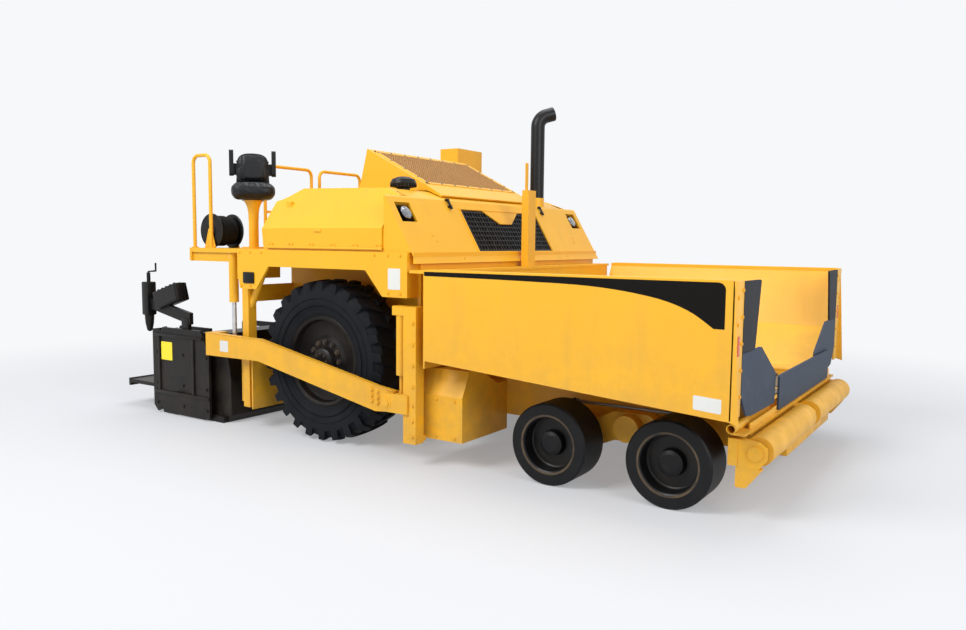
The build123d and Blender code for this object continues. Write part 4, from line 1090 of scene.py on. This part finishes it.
def platform_details():
    """Raised tread bars on the platform, and feet under the rails."""
    rows, columns, tread_half = 33, 13, 0.74
    tread = bmesh.new()
    for i in range(rows):
        for j in range(columns):
            x = -1.44 + i * 0.0226
            y = -0.72 + j * 0.12 + (0.06 if i % 2 else 0.0)
            if abs(y) <= tread_half:
                slab(tread, at(x, y - 0.016, 1.6275), at(x + 0.006, y + 0.016, 1.6302), 0.001)
    add_piece("tread_bars", tread, "tractor", worn_yellow, smooth=0)
    feet, flanges = [], bmesh.new()
    for foot_x, y in ((-1.5, -0.7), (-1.5, -0.06), (-1.5, 0.06), (-1.5, 0.7), (-1.545, -1.325),
                      (-1.79, -1.325), (-1.545, 1.325), (-1.79, 1.325)):
        stacked(flanges, lambda dx, dy, lift: at(foot_x + dx, y + dy * 0.7, 1.624 + lift),
                ((0.045, 0.0), (0.045, 0.006), (0.018, 0.008)), 20, ends=())
        feet += [(at(foot_x + dx, y, 1.631), UP) for dx in (-0.032, 0.032)]
    add_piece("rail_feet", flanges, "tractor", yellow_paint)
    bolts("rail_foot_bolts", "tractor", feet, 0.006, 0.006, yellow_paint)


front_details()
both_sides(roller_details)
platform_details()

# ---- Screed: end gate, spindle and crank, control box, ribs and blank sign ----
GATE_Y, GATE_TOP = 1.525, 0.8502
SPINDLE_X, SPINDLE_Y = -2.33, 1.475
BOX_HALF = Vector((0.19, 0.065, 0.0875))
BOX_TILT = math.radians(17.0)


def screed_details(name, side):
    body = f"screed_extension_{name}"

    def spindle(x, y, lift):
        return at(SPINDLE_X + x, side * SPINDLE_Y + y, lift)

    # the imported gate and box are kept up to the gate's top
    base = bmesh.new()
    base.from_mesh(nodes[body].data)
    bmesh.ops.remove_doubles(base, verts=base.verts, dist=1e-5)
    cut = bmesh.ops.bisect_plane(base, geom=base.verts[:] + base.edges[:] + base.faces[:],
                                 dist=1e-6, plane_co=(0, 0, GATE_TOP), plane_no=UP,
                                 clear_outer=True)
    rims = [edge for edge in cut["geom_cut"] if isinstance(edge, bmesh.types.BMEdge)]
    bmesh.ops.edgenet_fill(base, edges=rims)
    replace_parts(add_piece(f"screed_box_{name}", base, body, black_paint), body)
    # a longer gate, the beam over it, and the spindle in its housing
    gear = bmesh.new()
    prism(gear, [(-2.1, 0.035), (-2.155, 0.012), (-2.215, 0.07), (-2.215, 0.826), (-2.1, 0.84)],
          0.024, flank(side, 1.5005))
    prism(gear, [(-2.37, 1.035), (-2.37, 1.135), (-1.668, 1.005), (-1.668, 0.895)], 0.04,
          flank(side, 1.455))
    slab(gear, at(-1.79, side * 1.458, 0.78), at(-1.69, side * 1.502, 0.96), 0.006)
    slab(gear, at(-2.38, side * 1.425, 0.952), at(-2.28, side * GATE_Y, 1.281), 0.01)
    stacked(gear, spindle, ((0.012, 0.787), (0.026, 0.8), (0.04, 0.87), (0.046, 0.955)), 24)
    stacked(gear, spindle, ((0.018, 1.28), (0.018, 1.372)), 20, ends=(-1,))
    add_piece(f"screed_gear_{name}", gear, body, black_paint)
    box_mid = at(-1.98, side * SPINDLE_Y, 1.155)
    box_form = bmesh.new()
    slab(box_form, -BOX_HALF, BOX_HALF, 0.012)
    box_form.transform(Matrix.Translation(box_mid) @ Matrix.Rotation(-BOX_TILT, 4, "Y"))
    add_piece(f"control_box_{name}", box_form, body, black_paint)
    bars(f"gate_ribs_{name}", body, black_paint, side,
         *[(x0, GATE_Y - 0.002, z0, x1, GATE_Y + 0.014, z1, 0.004)
           for x0, z0, x1, z1 in ((-2.19, 0.20, -1.36, 0.23), (-2.19, 0.76, -1.45, 0.79),
                                  (-2.12, 0.23, -2.09, 0.76), (-1.6, 0.23, -1.57, 0.76))])
    plate(f"gate_sign_{name}", body, sign_yellow,
          rounded(rectangle(-2.075, 0.533, -1.907, 0.71), 0.01), 0.003, flank(side, GATE_Y),
          smooth=0)
    bolts(f"gate_bolts_{name}", body,
          flank_bolts(side, GATE_Y, (-2.15, -1.75, -1.4), (0.1, 0.3, 0.6)), 0.012, 0.01,
          black_paint)
    # crank handle on the spindle
    tube(f"crank_{name}", [spindle(x, 0.0, 1.37 + lift) for x, lift in (
        (0.0, 0.0), (0.0, 0.012), (0.1, 0.02), (0.12, 0.02), (0.12, 0.1))], 0.009, body,
         black_paint)
    # knobs on the control box's top, and a cover on its outer face
    along = Vector((math.cos(BOX_TILT), 0, math.sin(BOX_TILT)))
    above = Vector((-math.sin(BOX_TILT), 0, math.cos(BOX_TILT)))
    knobs = [(box_mid + along * u + above * BOX_HALF.z + Vector((0, v, 0)), above)
             for u in (-0.13, -0.065, 0.0, 0.065, 0.13) for v in (-0.03, 0.03)]
    bolts(f"control_knobs_{name}", body, knobs, 0.010, 0.012, black_paint, sides=14)
    plate(f"control_cover_{name}", body, gloss_black,
          rounded(rectangle(-0.17, -0.07, 0.17, 0.07), 0.02), 0.004,
          lambda u, v, w: box_mid + along * u + above * v
          + Vector((0, side * (BOX_HALF.y + w), 0)))


both_sides(screed_details)


# ---- Augers: a screw blade wound round the shaft, opposite hands each side ----
def auger_screw(name, side):
    x, _, z = centre_of(f"auger_{name}")
    centre = Vector((x, 0.0, z))
    outer, shaft, pitch, thick = 0.144, 0.034, 0.3, 0.012
    start, length = 0.13, 1.2
    steps = 4 * 36
    section = rectangle(shaft - 0.002, -thick / 2, outer, thick / 2)
    screw = bmesh.new()
    skin_over(screw, [ring_of(screw, [
        spoke(centre, radius, side * 2 * math.pi * length / pitch * t,
              side * (start + length * t + shift)) for radius, shift in section])
        for t in (i / steps for i in range(steps + 1))])
    turned(screw, [(0.075, 0.0), (0.075, shaft), (1.395, shaft), (1.395, 0.0)], centre, side,
           steps=32)
    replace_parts(add_piece(f"screw_{name}", screw, f"auger_{name}", worn_steel), f"auger_{name}")


both_sides(auger_screw)


# ---- Hose wound on its reel, intake cap ribs and exhaust collar ----
def reel_winding():
    """Turns of hose between two dished side plates, on a stand."""
    reel_y, hose_r = -1.09, 0.0078
    centre = at(-1.68, reel_y, 1.79)
    winding = bmesh.new()
    for layer, count in ((0, 14), (1, 13), (2, 7)):
        radius = 0.112 + layer * 0.014
        for i in range(count):
            y = -0.098 + (i + 0.5 * layer) * 0.0146
            section = [(y + hose_r * math.cos(a), radius + hose_r * math.sin(a))
                       for a in (2 * math.pi * k / 8 for k in range(9))]
            turned(winding, section, centre, 1, steps=48)
    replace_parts(add_piece("reel_winding", winding, "tractor", hose_rubber), "hose_reel")
    drum, stand = bmesh.new(), bmesh.new()
    dish = ((0.112, 0.0), (0.112, 0.158), (0.118, 0.166), (0.126, 0.166), (0.124, 0.155),
            (0.13, 0.11), (0.126, 0.05), (0.14, 0.045), (0.14, 0.0))
    for turn in (-1, 1):
        turned(drum, [(turn * y, radius) for y, radius in dish], centre, 1, steps=56)
        prism(stand, [(-1.76, 1.624), (-1.6, 1.624), (-1.66, 1.81), (-1.70, 1.81)], 0.008,
              lambda u, v, w: at(u, reel_y + turn * (0.138 + w), v))
    turned(drum, [(-0.112, 0.0), (-0.112, 0.104), (0.112, 0.104), (0.112, 0.0)], centre, 1,
           steps=40)
    add_piece("reel_drum", drum, "tractor", gloss_black)
    add_piece("reel_stand", stand, "tractor", yellow_paint)


def intake_and_exhaust():
    ribs = bmesh.new()
    for angle in angles(24):
        out = Vector((math.cos(angle), math.sin(angle), 0))
        mid = at(0.52, -0.98, 2.172) + out * 0.104
        prism(ribs, rectangle(-0.004, -0.012, 0.004, 0.012), 0.008,
              lambda u, v, w: mid + Vector((-out.y, out.x, 0)) * u + UP * v + out * w)
    add_piece("intake_cap_ribs", ribs, "tractor", gloss_black)
    collar = bmesh.new()
    stacked(collar, lambda x, y, lift: at(0.72 + x, 0.92 + y, 2.11 + lift),
            ((0.0695, -0.08), (0.074, -0.078), (0.074, 0.045), (0.0695, 0.048)), 40, ends=())
    add_piece("exhaust_collar", collar, "tractor", yellow_paint)


reel_winding()
intake_and_exhaust()

# ---- Floor, light and camera ----
BACKDROP = rgb(247, 248, 250)


def floor_finish():
    """A pale ground near the machine that fades into the backdrop further off."""
    f = Finish("pale_floor")
    ground = f.node("ShaderNodeBsdfPrincipled", {
        "Base Color": rgb(206, 208, 212), "Roughness": 0.9, "Specular IOR Level": 0.1})
    far = f.node("ShaderNodeVectorMath", {0: f.point}, output="Value", operation="LENGTH")
    glow = f.node("ShaderNodeEmission", {"Color": BACKDROP, "Strength": 1.0})
    fade = f.node("ShaderNodeMapRange", {0: far, 1: 3.0, 2: 9.0, 3: 0.3, 4: 1.0},
                  interpolation_type="SMOOTHSTEP")
    seen = f.node("ShaderNodeLightPath", output="Is Camera Ray")
    glossy = f.node("ShaderNodeLightPath", output="Is Glossy Ray")
    shown = seen.maths("MAXIMUM", seen, glossy) * fade
    f.end(f.node("ShaderNodeMixShader", {0: shown, 1: ground, 2: glow}))
    return f.material


def world_light():
    """A soft bluish light for the object, and the plain backdrop for the eye and reflections."""
    world = bpy.data.worlds.new("studio")
    bpy.context.scene.world = world
    world.use_nodes = True
    tree = world.node_tree
    tree.nodes.clear()
    path = add_node(tree, "ShaderNodeLightPath")
    seen = add_node(tree, "ShaderNodeMath",
                    {0: path["Is Camera Ray"], 1: path["Is Glossy Ray"]}, operation="MAXIMUM")[0]
    soft, backdrop = (
        add_node(tree, "ShaderNodeBackground", {"Color": colour, "Strength": strength})[0]
        for colour, strength in ((rgb(236, 240, 246), 0.55), (BACKDROP, 1.0)))
    mix = add_node(tree, "ShaderNodeMixShader", {0: seen, 1: soft, 2: backdrop})[0]
    add_node(tree, "ShaderNodeOutputWorld", {"Surface": mix})


def studio():
    """The floor, the world's light and three large lamps."""
    reach = 60.0
    mesh = bpy.data.meshes.new("floor")
    mesh.from_pydata([(x, y, 0) for x, y in rectangle(-reach, -reach, reach, reach)], [],
                     [(0, 1, 2, 3)])
    mesh.materials.append(floor_finish())
    place_object("floor", mesh)
    world_light()
    # name, place, aimed at, size, watts
    lamps = (("key_lamp", (-2.5, -9.0, 8.5), (0.3, 0.0, 1.2), 5.0, 900.0),
             ("front_lamp", (9.5, -4.0, 5.0), (1.0, 0.0, 1.0), 5.0, 420.0),
             ("top_lamp", (0.0, 2.0, 11.0), (0.0, 0.0, 1.0), 7.0, 520.0))
    for name, place, aim, size, watts in lamps:
        lamp = bpy.data.lights.new(name, "AREA")
        lamp.shape = "SQUARE"
        lamp.size = size
        lamp.energy = watts
        rig = place_object(name, lamp)
        rig.location = place
        rig.rotation_mode = "QUATERNION"
        rig.rotation_quaternion = (Vector(aim) - Vector(place)).to_track_quat("-Z", "Y")


def camera():
    """Stands at the front right, as high as a person's eyes."""
    heading, dip, roll = 2.157, 0.091, -0.010
    turn = (Matrix.Rotation(heading - math.pi / 2, 4, "Z")
            @ Matrix.Rotation(math.pi / 2 - dip, 4, "X") @ Matrix.Rotation(-roll, 4, "Z"))
    lens = bpy.data.cameras.new("camera")
    lens.sensor_fit = "HORIZONTAL"
    lens.sensor_width = 36.0
    lens.lens = 29.95
    lens.clip_end = 200.0
    eye = place_object("camera", lens)
    eye.matrix_world = Matrix.Translation(at(4.859, -6.286, 1.710)) @ turn
    bpy.context.scene.camera = eye


bpy.context.scene.view_settings.view_transform = "Standard"
camera()
studio()
